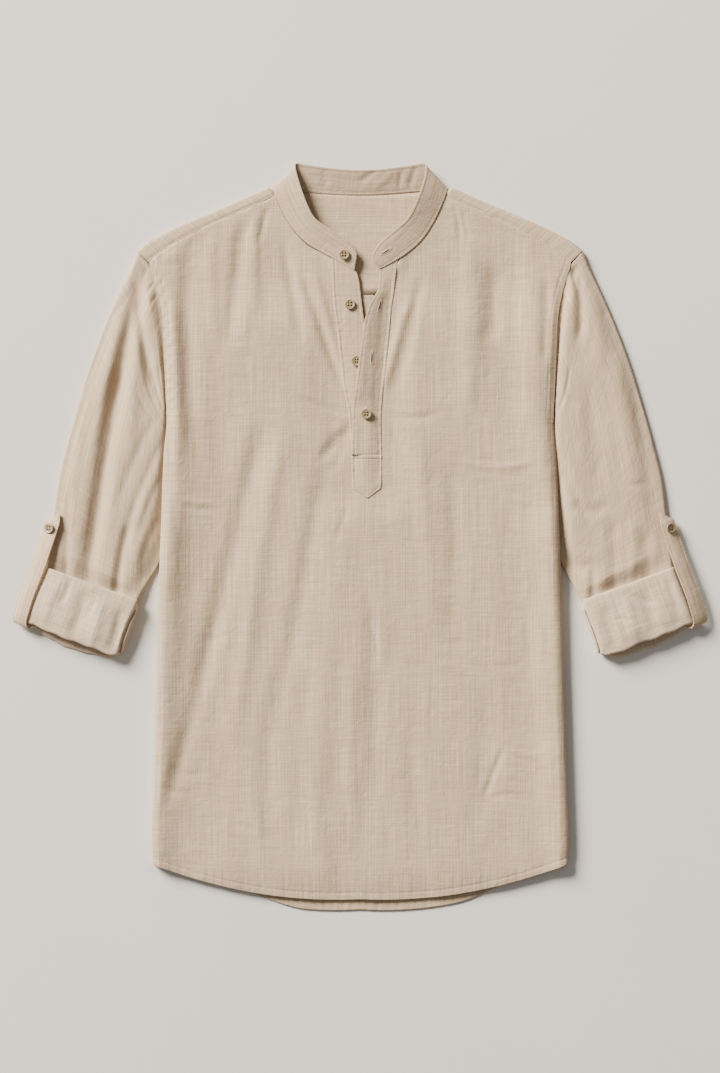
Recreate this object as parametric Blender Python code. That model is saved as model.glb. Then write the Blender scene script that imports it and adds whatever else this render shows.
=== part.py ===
"""Band-collar popover shirt laid flat: every cut piece is a thin cloth wall, with six turned buttons.

The tables are in millimetres. X is across the shirt, Y runs from hem to collar and Z is up from the
surface that the shirt lies on. "left" and "right" are the wearer's own: the wearer's right is at -X.
"""
import math

import bmesh
import bpy
from mathutils import Vector

MM = 0.001
CLOTH = 1.2              # wall of one cloth piece
GAP = 0.3                # air between two pieces
PITCH = CLOTH + GAP      # height of one cloth layer on the next
BACK_MID = CLOTH / 2     # middle of the layer that lies on the surface
YOKE_SEAM_Y = 267.0

BUTTON_RADIUS = 5.75
BUTTON_THICK = 3.0
BUTTON_HOLE_RADIUS = 0.8
BUTTON_HOLE_OFFSET = 1.35
BUTTON_SIDES = 20
HOLE_CUTTER_LONG = 8.0   # past both faces of a button

LINEN = (0.58, 0.49, 0.39)
HORN = (0.36, 0.27, 0.16)


# ---------------------------------------------------------------- tables

def slope_at(values, i):
    """Slope of a monotone curve at row i: zero at a peak, else the harmonic mean of both sides."""
    if i == 0 or i == len(values) - 1:
        return 0.0 if len(values) < 3 else (values[1] - values[0] if i == 0 else values[-1] - values[-2])
    before = values[i] - values[i - 1]
    after = values[i + 1] - values[i]
    if before * after <= 0:
        return 0.0
    return 2 * before * after / (before + after)


def read(values, place):
    """Value at a place along the rows, on a smooth curve that never overshoots a row."""
    i = min(max(int(place), 0), len(values) - 2)
    t = place - i
    a, b = values[i], values[i + 1]
    ta, tb = slope_at(values, i), slope_at(values, i + 1)
    return (a * (1 + 2 * t) * (1 - t) ** 2 + ta * t * (1 - t) ** 2
            + b * t * t * (3 - 2 * t) + tb * t * t * (t - 1))


class Table:
    """Rows with named columns; at(place) reads all columns smoothly between rows."""

    def __init__(self, columns, rows):
        self.names = columns.split()
        self.rows = rows
        self.last = len(rows) - 1

    def at(self, place):
        return {name: read([row[k] for row in self.rows], place) for k, name in enumerate(self.names)}


def ease(t):
    t = min(max(t, 0.0), 1.0)
    return t * t * (3 - 2 * t)


def mix(a, b, t):
    return a + (b - a) * t


# Front, from hem to shoulder seam. side: the side edge and armhole, the same on both halves.
# right and left: the inner edge of each half, which is the centre, then the placket slot, then the neck.
# edge, puff, field and mid are heights of the middle of the cloth: at the side, just inside it,
# over the middle of the half and at the inner edge. sag bows the row down and arch bows it up.
FRONT = Table("side_x side_y right_x left_x mid_y edge puff field mid sag arch", (
    (228.5, -360, 0, 0, -399, 2.7, 3.6, 2.6, 2.6, 12.7, 0),
    (229.3, -335, 0, 0, -352, 3.0, 4.8, 2.7, 2.7, 6.0, 0),
    (227.3, -270, 0, 0, -280, 3.1, 5.2, 2.7, 2.7, 2.0, 0),
    (225.0, -200, 0, 0, -205, 3.1, 5.2, 2.7, 2.7, 0, 0),
    (222.8, -130, 0, 0, -130, 3.1, 5.2, 2.7, 2.7, 0, 0),
    (221.6, -75, 0, 0, -72, 3.3, 5.4, 2.7, 2.7, 0, 0),
    (220.3, -32, 0, 0, -30, 6.1, 7.0, 2.8, 2.8, 0, 0),
    (218.3, 15, 4, 4, 14, 6.1, 7.2, 3.0, 3.0, 0, 0),
    (217.2, 50, 7, 7, 48, 6.1, 7.2, 3.0, 3.4, 0, 0),
    (215.4, 92, -5, 19.5, 68, 6.1, 7.2, 3.2, 4.0, 0, 0),
    (212.5, 128, -8.5, 19.5, 122, 6.1, 7.2, 3.4, 4.2, 0, 0),
    (214.0, 165, -15, 21.5, 165, 5.4, 6.4, 3.6, 4.2, 0, 0),
    (215.6, 205, -19, 26, 205, 5.2, 6.4, 3.8, 4.2, 0, 0),
    (217.2, 238, -23, 29.5, 245, 5.2, 6.2, 4.0, 4.2, 0, 0),
    (221.0, 262, -26.5, 33.5, 275, 5.2, 6.0, 4.2, 4.3, 0, 0),
    (226.0, 281, -29.5, 43, 303.5, 5.2, 6.0, 4.6, 4.5, 0, 1.5),
    (229.3, 291, -57, 63, 319.5, 5.3, 5.9, 5.0, 4.7, 0, 3.0),
    (231.0, 297, -79, 82, 346, 5.4, 5.8, 5.4, 4.9, 0, 5.0),
    (231.5, 300.5, -93, 93, 375, 5.4, 5.6, 5.6, 5.2, 0, 6.0),
))
PUFF_REACH = 12.0        # how far inside the side fold the cloth stands highest

# Back, from hem to yoke seam. edge: height of the middle of the cloth at the side.
# fold and flat: how far the box pleat has opened, 0 is shut and pressed.
BACK = Table("side_x side_y mid_y edge sag open flat", (
    (228.5, -359, -411.0, 1.2, 17.0, 1, 1),
    (229.3, -333, -352, 1.5, 6.0, 1, 1),
    (227.3, -270, -280, 1.6, 2.0, 1, 1),
    (223.9, -165, -165, 1.6, 0, 1, 1),
    (221.6, -75, -75, 1.8, 0, 1, 1),
    (220.3, -32, -32, 4.6, 0, 1, 1),
    (218.3, 15, 15, 4.6, 0, 1, 1),
    (216.2, 72, 72, 4.6, 0, 1, 1),
    (213.6, 112, 112, 4.6, 0, 1, 1),
    (212.3, 128, 128, 4.6, 0, 1, 1),
    (213.2, 150, 150, 0.6, 0, 1, 1),
    (214.4, 178, 178, 0.6, 0, 1, 0.6),
    (215.8, 210, 210, 0.6, 0, 1, 0),
    (217.4, 240, 240, 0.6, 0, 0.5, 0),
    (221.6, 266.7, 266.7, 0.6, 0, 0, 0),
))
EDGE_LIFT_FLAT = 6.0     # width at the side where the lift is whole
EDGE_LIFT_REACH = 12.0   # width over which it then dies away

# Box pleat, one half, in folds of three layers. shut: pressed at the yoke. steep: its folds
# opened into a slope. flat: gone. Heights are layers above the surface.
PLEAT = (
    # shut_x, steep_x, flat_x, layer
    (0.0, 0.0, 0.0, 0.0),
    (6.0, 3.0, 3.0, 0.0),
    (11.2, 6.0, 6.0, 0.0),
    (12.0, 7.2, 8.5, 0.5),
    (11.2, 8.4, 11.0, 1.0),
    (1.3, 9.4, 13.5, 1.0),
    (0.5, 10.6, 16.0, 1.5),
    (1.3, 11.8, 18.5, 2.0),
    (13.0, 14.4, 20.5, 2.0),
    (18.0, 18.6, 23.0, 1.0),
    (25.0, 25.0, 25.5, 0.0),
)

# Shoulder line and back yoke seam of one half, from the armhole to the neck. share: place along the
# front's shoulder seam, where the yoke's front strip is sewn on.
YOKE = Table("line_x line_y back_x share", (
    (244.6, 313.6, 221.6, 1.0),
    (236.0, 321.5, 212.0, 0.93),
    (218.0, 332.0, 192.0, 0.80),
    (190.0, 345.5, 170.0, 0.62),
    (160.0, 358.2, 144.0, 0.42),
    (130.0, 370.6, 118.0, 0.21),
    (100.5, 384.2, 96.0, 0.0),
))
SHOULDER_UP = (0.5, 1.0)  # way from the front seam to the shoulder line, for the seam gap
YOKE_SIDE_BOW = 6.0      # how far the back armhole of the yoke curves in
YOKE_TOP = 5.6           # middle of the yoke's front strip
NECK_BACK_RISE = 3.0     # how much lower the back neck seam is at the centre than at the sides

# Sleeve, from armhole to roll. outer and inner: its two fold edges. thick: its whole height in the
# middle, outer_thick and inner_thick at the folds. reach: share of the armhole's own curve.
SLEEVE = Table("outer_x outer_y inner_x inner_y thick outer_thick inner_thick reach raise_z", (
    (245.2, 313.0, 212.9, 127.6, 6.2, 6.0, 2.9, 1.0, 0),
    (252.0, 296.0, 211.6, 108.0, 6.0, 6.0, 2.8, 0.6, 0),
    (262.0, 275.0, 212.6, 84.0, 6.0, 6.0, 2.8, 0.3, 0),
    (278.8, 237.0, 213.4, 58.0, 6.2, 6.0, 2.9, 0.15, 0),
    (295.0, 194.5, 214.4, 33.0, 6.2, 6.0, 2.9, 0, 0),
    (309.0, 150.0, 215.2, 10.0, 6.2, 6.0, 2.9, 0, 0),
    (321.5, 106.0, 216.4, -12.0, 6.2, 6.0, 2.9, 0, 0),
    (332.5, 60.0, 221.5, -31.0, 6.2, 6.0, 2.9, 0, 0),
    (337.5, 20.0, 230.0, -46.0, 7.2, 6.4, 4.0, 0, 0),
    (341.0, -12.0, 239.0, -62.0, 10.0, 7.5, 6.5, 0, 0.6),
    (341.8, -34.4, 243.6, -71.0, 11.8, 8.0, 7.0, 0, 1.5),
    (344.4, -42.0, 246.8, -78.0, 12.2, 9.0, 8.0, 0, 1.5),
))
# How far the armhole curve stands toward the body from a straight line, in equal steps from
# the underarm to the tip of the shoulder.
ARMHOLE = (0, 2.4, 4.9, 7.5, 10.0, 12.4, 14.1, 14.6, 13.7, 11.0, 0)
SLEEVE_EDGE_REACH = 17.0  # how far inside its folds the sleeve comes to its whole height
SLEEVE_LONG = 400.0      # length and width that turn the folds' shares into mm
SLEEVE_WIDE = 100.0
SLEEVE_EDGE_SHARE = 0.03  # width of a fold's own corner points, as a share of the sleeve
CUFF_EDGE_SHARE = 0.05

# Turned-up cuff, one row at its upper edge and one at its lip.
CUFF = Table("outer_x outer_y inner_x inner_y thick", (
    (345.0, -33.5, 240.5, -71.5, 15.4),
    (357.0, -63.0, 252.0, -103.0, 16.0),
    (368.5, -93.5, 263.5, -134.5, 15.6),
))
CUFF_WALL = 2.7
CUFF_DEPTH = 67.0        # from upper edge to lip
CUFF_INNER_DROP = 2.0    # how much lower the cuff is at its folds than in the middle
CUFF_OUTER_DROP = 1.0
CUFF_LIP_DROP = 0.16     # how much further the layer on the surface reaches, as a share of the depth
# Wall of the cuff as a closed path: share of the depth from upper edge to lip, and depth in the wall.
CUFF_PATH = ((0, 0), (0.3, 0), (0.65, 0), (0.94, 0), (0.99, 0.7), (0.99, 2.0), (0.94, CUFF_WALL),
             (0.6, CUFF_WALL), (0.2, CUFF_WALL), (0.2, PITCH), (0.1, CLOTH), (0, CLOTH))

# Collar, from the right front end round the neck to the left front end.
COLLAR = Table("seam_x seam_y seam_z top_x top_y top_z", (
    (-6.0, 291.8, 7.5, -3.4, 308.0, 8.2),
    (-10.0, 294.6, 7.5, -4.8, 314.5, 8.4),
    (-19.0, 300.0, 7.5, -10.0, 319.5, 8.8),
    (-33.0, 307.5, 7.4, -18.0, 327.0, 9.6),
    (-46.0, 314.5, 7.4, -28.0, 334.0, 10.4),
    (-58.3, 321.8, 7.4, -38.0, 341.0, 11.2),
    (-70.0, 333.5, 7.4, -47.5, 347.0, 12.0),
    (-79.2, 346.0, 7.4, -53.0, 354.0, 12.7),
    (-86.5, 360.0, 7.6, -58.5, 366.0, 13.3),
    (-92.4, 373.5, 7.8, -65.0, 383.5, 13.8),
    (-96.0, 381.0, 6.6, -69.8, 400.0, 13.4),
    (-97.4, 384.6, 4.7, -72.8, 411.4, 10.0),
    (-94.0, 384.0, 2.9, -71.0, 411.0, 6.0),
    (-84.0, 381.0, 2.2, -64.5, 409.4, 4.4),
    (-62.0, 379.2, 2.1, -48.0, 406.8, 4.0),
    (-32.0, 376.6, 2.1, -24.0, 403.8, 4.0),
    (0.0, 375.4, 2.1, 0.0, 402.6, 4.0),
    (32.0, 376.6, 2.1, 24.0, 403.8, 4.0),
    (62.0, 379.2, 2.1, 48.0, 406.8, 4.0),
    (84.0, 381.0, 2.2, 64.5, 409.4, 4.4),
    (94.0, 384.0, 2.9, 71.0, 411.0, 6.0),
    (97.4, 384.6, 4.7, 72.8, 411.4, 10.0),
    (96.5, 381.0, 6.6, 72.4, 401.5, 13.4),
    (94.2, 374.0, 7.8, 68.0, 384.0, 13.8),
    (89.0, 361.0, 7.6, 61.0, 366.0, 13.3),
    (83.0, 348.5, 7.4, 55.5, 354.5, 12.7),
    (74.5, 334.0, 7.4, 49.5, 346.0, 12.0),
    (65.0, 321.8, 7.4, 42.0, 340.0, 11.2),
    (54.0, 312.8, 7.4, 33.5, 333.0, 10.4),
    (46.0, 307.0, 7.4, 24.5, 325.5, 9.6),
    (37.0, 301.5, 7.5, 17.5, 317.8, 8.8),
    (29.0, 297.2, 7.5, 13.8, 310.0, 8.4),
    (21.0, 294.2, 7.5, 14.6, 301.5, 8.2),
))

# Plackets: left and right edges of the strip and the heights of the middle of its cloth there.
PLACKET_UNDER = Table("y left_x right_x left_z right_z", (
    (60.0, -9.0, 21.5, 5.6, 5.6),
    (95.0, -9.5, 21.5, 5.7, 5.7),
    (135.0, -12.5, 18.0, 5.7, 5.7),
    (165.0, -18.0, 13.0, 5.7, 5.7),
    (196.0, -21.5, 9.0, 5.7, 5.7),
    (223.0, -24.5, 6.0, 5.7, 5.8),
    (256.0, -28.8, 2.0, 5.8, 5.9),
    (280.0, -30.8, -1.5, 5.8, 5.9),
    (291.0, -31.8, -6.0, 5.8, 5.9),
))
PLACKET_OVER = Table("y left_x right_x left_z right_z", (
    (42.4, 7.2, 9.2, 7.2, 7.2),
    (49.0, -1.5, 17.5, 7.2, 7.2),
    (55.0, -8.4, 23.8, 7.2, 7.2),
    (90.0, -9.2, 24.2, 7.2, 7.2),
    (122.0, -9.0, 23.4, 7.2, 7.2),
    (142.0, -7.8, 24.0, 7.3, 7.2),
    (162.0, -5.2, 25.8, 10.2, 7.2),
    (186.0, -2.2, 28.4, 11.0, 7.2),
    (207.0, 0.6, 30.6, 11.2, 7.0),
    (233.0, 4.2, 33.2, 11.0, 6.6),
    (256.0, 11.0, 35.4, 10.0, 6.2),
    (272.0, 20.0, 38.0, 7.6, 6.0),
    (291.0, 21.5, 42.0, 6.1, 6.0),
))

UNDER_FALL = 1.0         # share of the width over which a strip goes from one height to the other
OVER_FALL = 0.8

# Roll tab in the cuff's own frame: out along its width, down the sleeve and up; tilt in degrees.
TAB = Table("out down up tilt width", (
    (118.0, -58.0, 10.2, 34, 3.0),
    (118.5, -53.0, 9.4, 36, 11.0),
    (119.5, -46.0, 8.4, 38, 21.0),
    (118.5, -20.0, 8.4, 38, 21.5),
    (119.0, 8.0, 9.2, 38, 21.5),
    (119.5, 34.0, 9.2, 38, 21.5),
    (118.5, 54.0, 8.8, 36, 21.0),
    (117.0, 64.0, 8.6, 32, 20.5),
    (113.5, 71.0, 8.3, 27, 20.0),
    (108.0, 73.6, 8.0, 20, 20.0),
    (101.0, 72.4, 8.0, 13, 20.0),
    (95.5, 66.0, 8.0, 8, 20.0),
    (93.5, 53.0, 8.0, 6, 20.0),
    (93.0, 34.0, 8.0, 6, 20.0),
))
CUFF_CORNER = (240.5, -71.0)
CUFF_OUT = (0.936, 0.351)
CUFF_DOWN = (0.350, -0.937)

# Buttons: middle of the underside and how far the face leans outward, in degrees.
BUTTONS = (
    ("button_collar", (-17.4, 309.6, 9.15), 0),
    ("button_placket_1", (-11.0, 255.2, 6.85), 0),
    ("button_placket_2", (-3.7, 193.0, 6.65), 0),
    ("button_placket_3", (7.0, 134.8, 8.15), 0),
)
TAB_BUTTON_DOWN = -44.0
TAB_STEPS = 10           # places tried between two rows when the button's place is sought
TAB_CROWN = 1.2          # how much the middle of a tab stands above its edges
TAB_FULL_WIDTH = 20.0    # width from which the crown is whole
BUTTON_STAND = 0.9       # length of the thread shank

FINE_FRONT = (0, 0.05, 0.13, 0.24, 0.38, 0.52, 0.66, 0.78, 0.87, 0.94, 0.98, 1)
FINE_BACK = (0.28, 0.45, 0.63, 0.8, 0.92, 0.965, 1)
FINE_YOKE = (0, 0.35, 0.7, 0.93)
FOLD_ANGLES = (-90, -30, 30, 90)
FINE_NECK = (-0.75, -0.5, -0.25, 0, 0.25, 0.5, 0.75)
FINE_OVER = (0.13, 0.26, 0.42, 0.58, 0.74, 0.87)
FINE_UNDER = (0.2, 0.5, 0.8)
FINE_RIBBON = (0, 0.2, 0.45, 0.7, 1)
FINE_COLLAR = (0, 0.33, 0.67, 1)

# Largest folds of the sleeve, from armhole to roll. along and across are shares of the sleeve.
SLEEVE_FOLDS = (
    # along_a, across_a, along_b, across_b, width, depth
    (0.08, 0.86, 0.92, 0.42, 15.0, 1.7),
    (0.02, 0.45, 0.45, 0.10, 10.0, 1.3),
)
FRONT_FOLDS = (
    # x_a, y_a, x_b, y_b, width, depth
    (-182, 330, -176, 120, 22.0, 0.7),
    (-135, 330, -128, 240, 15.0, 0.6),
    (182, 300, 176, 150, 20.0, 0.7),
    (-110, 60, -190, -170, 24.0, 0.6),
    (-60, 60, -95, -330, 22.0, 0.5),
)


# ---------------------------------------------------------------- mesh helpers

def new_material(name, colour, roughness):
    material = bpy.data.materials.new(name)
    material.use_nodes = True
    shader = material.node_tree.nodes["Principled BSDF"]
    shader.inputs["Base Color"].default_value = (*colour, 1.0)
    shader.inputs["Roughness"].default_value = roughness
    return material


def add_object(name, bm, colour, roughness, smooth_degrees=40):
    mesh = bpy.data.meshes.new(name)
    bmesh.ops.recalc_face_normals(bm, faces=bm.faces)
    bm.to_mesh(mesh)
    bm.free()
    mesh.materials.append(new_material(name + "_material", colour, roughness))
    mesh.shade_smooth()
    mesh.set_sharp_from_angle(angle=math.radians(smooth_degrees))
    piece = bpy.data.objects.new(name, mesh)
    bpy.context.scene.collection.objects.link(piece)
    return piece


def add_sheet(name, cells):
    """Piece of cloth from quads of middle points, given in mm, with its wall on both sides."""
    bm = bmesh.new()
    for corners in cells:
        bm.faces.new([bm.verts.new(Vector(corner) * MM) for corner in corners])
    bmesh.ops.remove_doubles(bm, verts=bm.verts, dist=0.00001)
    piece = add_object(name, bm, LINEN, 0.85)
    wall = piece.modifiers.new("wall", "SOLIDIFY")
    wall.thickness = CLOTH * MM
    wall.offset = 0.0
    return piece


def grid_cells(rows, skip=None):
    """Quads between neighbouring rows of points. skip(i, j) leaves a quad out."""
    cells = []
    for i in range(len(rows) - 1):
        for j in range(len(rows[i]) - 1):
            if skip is None or not skip(i, j):
                cells.append((rows[i][j], rows[i][j + 1], rows[i + 1][j + 1], rows[i + 1][j]))
    return cells


def trough(x, y, fold):
    """Depth of one soft fold at a point."""
    x_a, y_a, x_b, y_b, width, depth = fold
    dx, dy = x_b - x_a, y_b - y_a
    length = math.hypot(dx, dy)
    along = ((x - x_a) * dx + (y - y_a) * dy) / length ** 2
    across = ((x - x_a) * dy - (y - y_a) * dx) / length
    inside = ease(along / 0.2) * ease((1 - along) / 0.2)
    return depth * inside * math.exp(-(across / width) ** 2)


# ---------------------------------------------------------------- front and back

def front_point(row, side, share):
    """Point of the front: side is -1 at the wearer's right, share runs from the inner edge out."""
    mid_x = row["right_x"] if side < 0 else row["left_x"]
    x = mix(mid_x, side * row["side_x"], share)
    y = mix(row["mid_y"], row["side_y"], share)
    y += row["arch"] * 6.75 * share * share * (1 - share) - row["sag"] * 4 * share * (1 - share)
    inward = (1 - share) * row["side_x"]
    puff = inward / PUFF_REACH * math.exp(1 - inward / PUFF_REACH)
    z = mix(row["mid"], row["field"], ease(share / 0.35))
    z += (row["puff"] - row["field"]) * puff
    z = mix(row["edge"], z, ease(inward / PUFF_REACH))
    z -= sum(trough(x, y, fold) for fold in FRONT_FOLDS) * ease(inward / 20) * ease(share / 0.1)
    return (x, y, z)


def build_front():
    rows = []
    for i in range(len(FRONT.rows)):
        row = FRONT.at(i)
        right = [front_point(row, -1, share) for share in reversed(FINE_FRONT)]
        left = [front_point(row, 1, share) for share in FINE_FRONT]
        rows.append(right + left)
    middle = len(FINE_FRONT) - 1
    return add_sheet("front", grid_cells(rows, lambda i, j: j == middle))


def pleat_points(row):
    """Middle of the pleat's cloth across one half, from the centre out."""
    points = []
    for shut_x, steep_x, flat_x, layer in PLEAT:
        x = mix(mix(shut_x, steep_x, row["open"]), flat_x, row["flat"])
        points.append((x, BACK_MID + layer * PITCH * (1 - row["flat"])))
    return points


def back_point(row, side, x, z):
    share = x / row["side_x"]
    y = mix(row["mid_y"], row["side_y"], share) - row["sag"] * 4 * share * (1 - share)
    lift = 1 - ease((row["side_x"] - x - EDGE_LIFT_FLAT) / EDGE_LIFT_REACH)
    return (side * x, y, z + (row["edge"] - BACK_MID) * lift)


def build_back():
    rows = []
    for i in range(len(BACK.rows)):
        row = BACK.at(i)
        half = pleat_points(row) + [(row["side_x"] * share, BACK_MID) for share in FINE_BACK]
        right = [back_point(row, -1, x, z) for x, z in reversed(half[1:])]
        left = [back_point(row, 1, x, z) for x, z in half]
        rows.append(right + left)
    return add_sheet("back", grid_cells(rows))


# ---------------------------------------------------------------- yoke

def shoulder_column(side, place):
    """One column of the yoke, from the back seam over the shoulder fold to the front seam."""
    row = YOKE.at(place)
    back = Vector((row["back_x"], YOKE_SEAM_Y + GAP))
    line = Vector((row["line_x"], row["line_y"]))
    seam = front_point(FRONT.at(FRONT.last), side, row["share"])
    front = Vector((side * seam[0], seam[1])) + Vector(SHOULDER_UP) * GAP
    radius = (YOKE_TOP - BACK_MID) / 2
    inward = (front - line).normalized()
    start = line + inward * radius
    column = []
    for share in FINE_YOKE:
        flat = back.lerp(start, share)
        bow = YOKE_SIDE_BOW * 4 * share * (1 - share) * ease(1 - place / 3)
        column.append((flat.x - bow, flat.y, BACK_MID))
    for degrees in FOLD_ANGLES:
        angle = math.radians(degrees)
        flat = start - inward * radius * math.cos(angle)
        column.append((flat.x, flat.y, BACK_MID + radius + radius * math.sin(angle)))
    column.append((*start.lerp(front, 0.5), YOKE_TOP))
    column.append((*front, YOKE_TOP))
    return [(side * x, y, z) for x, y, z in column]


def build_yoke():
    cells = []
    ends = {}
    for side in (-1, 1):
        columns = [shoulder_column(side, place) for place in range(len(YOKE.rows))]
        cells += grid_cells(columns)
        ends[side] = columns[-1]
    flat_rows = len(FINE_YOKE)
    neck = [ends[-1][:flat_rows]]
    for share in FINE_NECK:
        neck.append(neck_column_between(ends, share))
    neck.append(ends[1][:flat_rows])
    cells += grid_cells(neck)
    return add_sheet("yoke", cells)


def neck_column_between(ends, share):
    """Column at a share across the neck, -1 to 1, between the two shoulder ends."""
    column = []
    for right, left in zip(ends[-1][:len(FINE_YOKE)], ends[1]):
        x = mix(right[0], left[0], (share + 1) / 2)
        drop = (left[1] - YOKE_SEAM_Y) / (ends[1][len(FINE_YOKE) - 1][1] - YOKE_SEAM_Y)
        y = left[1] - NECK_BACK_RISE * (1 - share * share) * drop
        column.append((x, max(y, YOKE_SEAM_Y + GAP), BACK_MID))
    return column


# ---------------------------------------------------------------- sleeves and cuffs

def ring_shares(edge_share):
    """Places round a flattened ring: share across from inner to outer fold, and which layer."""
    near = (0.5 * edge_share, edge_share)
    far = (1 - edge_share, 1 - 0.5 * edge_share)
    over = [(share, 1) for share in near + FINE_OVER + far]
    under = [(share, -1) for share in reversed(near + FINE_UNDER + far)]
    return [(0, 0)] + over + [(1, 0)] + under


def ring_point(inner, outer, share, layer, heights, inset):
    """Point on a flattened ring, inset into its wall. heights: inner, middle, outer, raise."""
    inner_thick, thick, outer_thick, raise_z = heights
    width = (outer - inner).length
    inside = share * width / SLEEVE_EDGE_REACH
    outside = (1 - share) * width / SLEEVE_EDGE_REACH
    whole = thick - (thick - inner_thick) * math.exp(-inside ** 2)
    whole -= (thick - outer_thick) * math.exp(-outside ** 2)
    radius = (inner_thick if share < 0.5 else outer_thick) / 2
    from_edge = min(share, 1 - share) * width
    round_off = math.sqrt(max(0.0, 1 - max(0.0, 1 - from_edge / radius) ** 2))
    half = whole / 2
    z = raise_z + half + layer * (half * round_off - inset * (1 if layer else 0))
    squeeze = (width - 2 * inset) / width
    flat = inner.lerp(outer, 0.5 + (share - 0.5) * squeeze)
    return (flat.x, flat.y, z)


def sleeve_ring(place, inset):
    row = SLEEVE.at(place)
    inner = Vector((row["inner_x"], row["inner_y"]))
    outer = Vector((row["outer_x"], row["outer_y"]))
    heights = (row["inner_thick"], row["thick"], row["outer_thick"], row["raise_z"])
    ring = []
    for share, layer in ring_shares(SLEEVE_EDGE_SHARE):
        x, y, z = ring_point(inner, outer, share, layer, heights, inset)
        toward_body = row["reach"] * read(ARMHOLE, share * (len(ARMHOLE) - 1))
        if layer > 0:
            along = place / SLEEVE.last
            z -= sum(trough(along * SLEEVE_LONG, share * SLEEVE_WIDE,
                            (a * SLEEVE_LONG, b * SLEEVE_WIDE, c * SLEEVE_LONG, d * SLEEVE_WIDE, w, depth))
                     for a, b, c, d, w, depth in SLEEVE_FOLDS)
        ring.append((x - toward_body, y, z))
    return ring


def mirrored(ring, side):
    return [(side * x, y, z) for x, y, z in ring]


def build_sleeve(name, side):
    rings = [mirrored(sleeve_ring(place, CLOTH / 2), side) for place in range(len(SLEEVE.rows))]
    rings = [ring + ring[:1] for ring in rings]
    return add_sheet(name, grid_cells(rings))


def cuff_ring(depth, inset):
    """Ring of the cuff at a share of its depth; the layer on the surface reaches further."""
    ring = []
    for share, layer in ring_shares(CUFF_EDGE_SHARE):
        drop = CUFF_LIP_DROP * (1 - (2 * share - 1) ** 2) * depth ** 2 if layer < 0 else 0.0
        row = CUFF.at(min(depth, 1) * CUFF.last)
        inner = Vector((row["inner_x"], row["inner_y"]))
        outer = Vector((row["outer_x"], row["outer_y"]))
        heights = (row["thick"] - CUFF_INNER_DROP, row["thick"], row["thick"] - CUFF_OUTER_DROP, 0)
        x, y, z = ring_point(inner, outer, share, layer, heights, inset)
        reach = CUFF_DEPTH * drop
        ring.append((x + CUFF_DOWN[0] * reach, y + CUFF_DOWN[1] * reach, z))
    return ring


def build_cuff(name, side):
    bm = bmesh.new()
    rings = []
    for depth, inset in CUFF_PATH:
        rings.append([bm.verts.new(Vector(point) * MM) for point in mirrored(cuff_ring(depth, inset), side)])
    for ring, following in zip(rings, rings[1:] + rings[:1]):
        for k in range(len(ring)):
            after = (k + 1) % len(ring)
            bm.faces.new((ring[k], ring[after], following[after], following[k]))
    return add_object(name, bm, LINEN, 0.85)


# ---------------------------------------------------------------- ribbons

def build_collar():
    rows = []
    for i in range(len(COLLAR.rows)):
        row = COLLAR.at(i)
        seam = Vector((row["seam_x"], row["seam_y"], row["seam_z"]))
        top = Vector((row["top_x"], row["top_y"], row["top_z"]))
        rows.append([tuple(seam.lerp(top, share)) for share in FINE_COLLAR])
    return add_sheet("collar", grid_cells(rows))


def build_placket(name, table, fall_share):
    rows = []
    for i in range(len(table.rows)):
        row = table.at(i)
        strip = []
        for share in FINE_RIBBON:
            fall = ease(share / fall_share)
            z = mix(row["left_z"], row["right_z"], fall)
            strip.append((mix(row["left_x"], row["right_x"], share), row["y"], z))
        rows.append(strip)
    return add_sheet(name, grid_cells(rows))


def tab_place(side, out, down, up):
    x = CUFF_CORNER[0] + out * CUFF_OUT[0] + down * CUFF_DOWN[0]
    y = CUFF_CORNER[1] + out * CUFF_OUT[1] + down * CUFF_DOWN[1]
    return Vector((side * x, y, up))


def build_tab(name, side):
    rows = []
    for i in range(len(TAB.rows)):
        row = TAB.at(i)
        lean = math.radians(row["tilt"])
        strip = []
        for share in (-0.5, 0, 0.5):
            reach = share * row["width"]
            crown = TAB_CROWN * (1 - (2 * share) ** 2) * min(row["width"] / TAB_FULL_WIDTH, 1)
            strip.append(tuple(tab_place(side, row["out"] + reach * math.cos(lean) + crown * math.sin(lean),
                                         row["down"], row["up"] - reach * math.sin(lean)
                                         + crown * math.cos(lean))))
        rows.append(strip)
    return add_sheet(name, grid_cells(rows))


# ---------------------------------------------------------------- buttons

def turned_disc():
    """Mesh of a shirt button standing on its underside: domed back, raised rim and a dished face."""
    profile = ((0.0, 0.0), (3.6, 0.0), (5.1, 0.7), (BUTTON_RADIUS, 1.7), (5.45, 2.7), (4.9, BUTTON_THICK),
               (4.2, 2.7), (3.5, 2.1), (0.0, 2.0))
    bm = bmesh.new()
    rings = []
    for radius, height in profile:
        if radius == 0:
            rings.append([bm.verts.new((0, 0, height * MM))])
            continue
        angles = [2 * math.pi * k / BUTTON_SIDES for k in range(BUTTON_SIDES)]
        rings.append([bm.verts.new((radius * MM * math.cos(a), radius * MM * math.sin(a), height * MM))
                      for a in angles])
    for lower, upper in zip(rings, rings[1:]):
        for k in range(BUTTON_SIDES):
            after = (k + 1) % BUTTON_SIDES
            if len(lower) == 1:
                bm.faces.new((lower[0], upper[after], upper[k]))
            elif len(upper) == 1:
                bm.faces.new((lower[k], lower[after], upper[0]))
            else:
                bm.faces.new((lower[k], lower[after], upper[after], upper[k]))
    return bm


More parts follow.
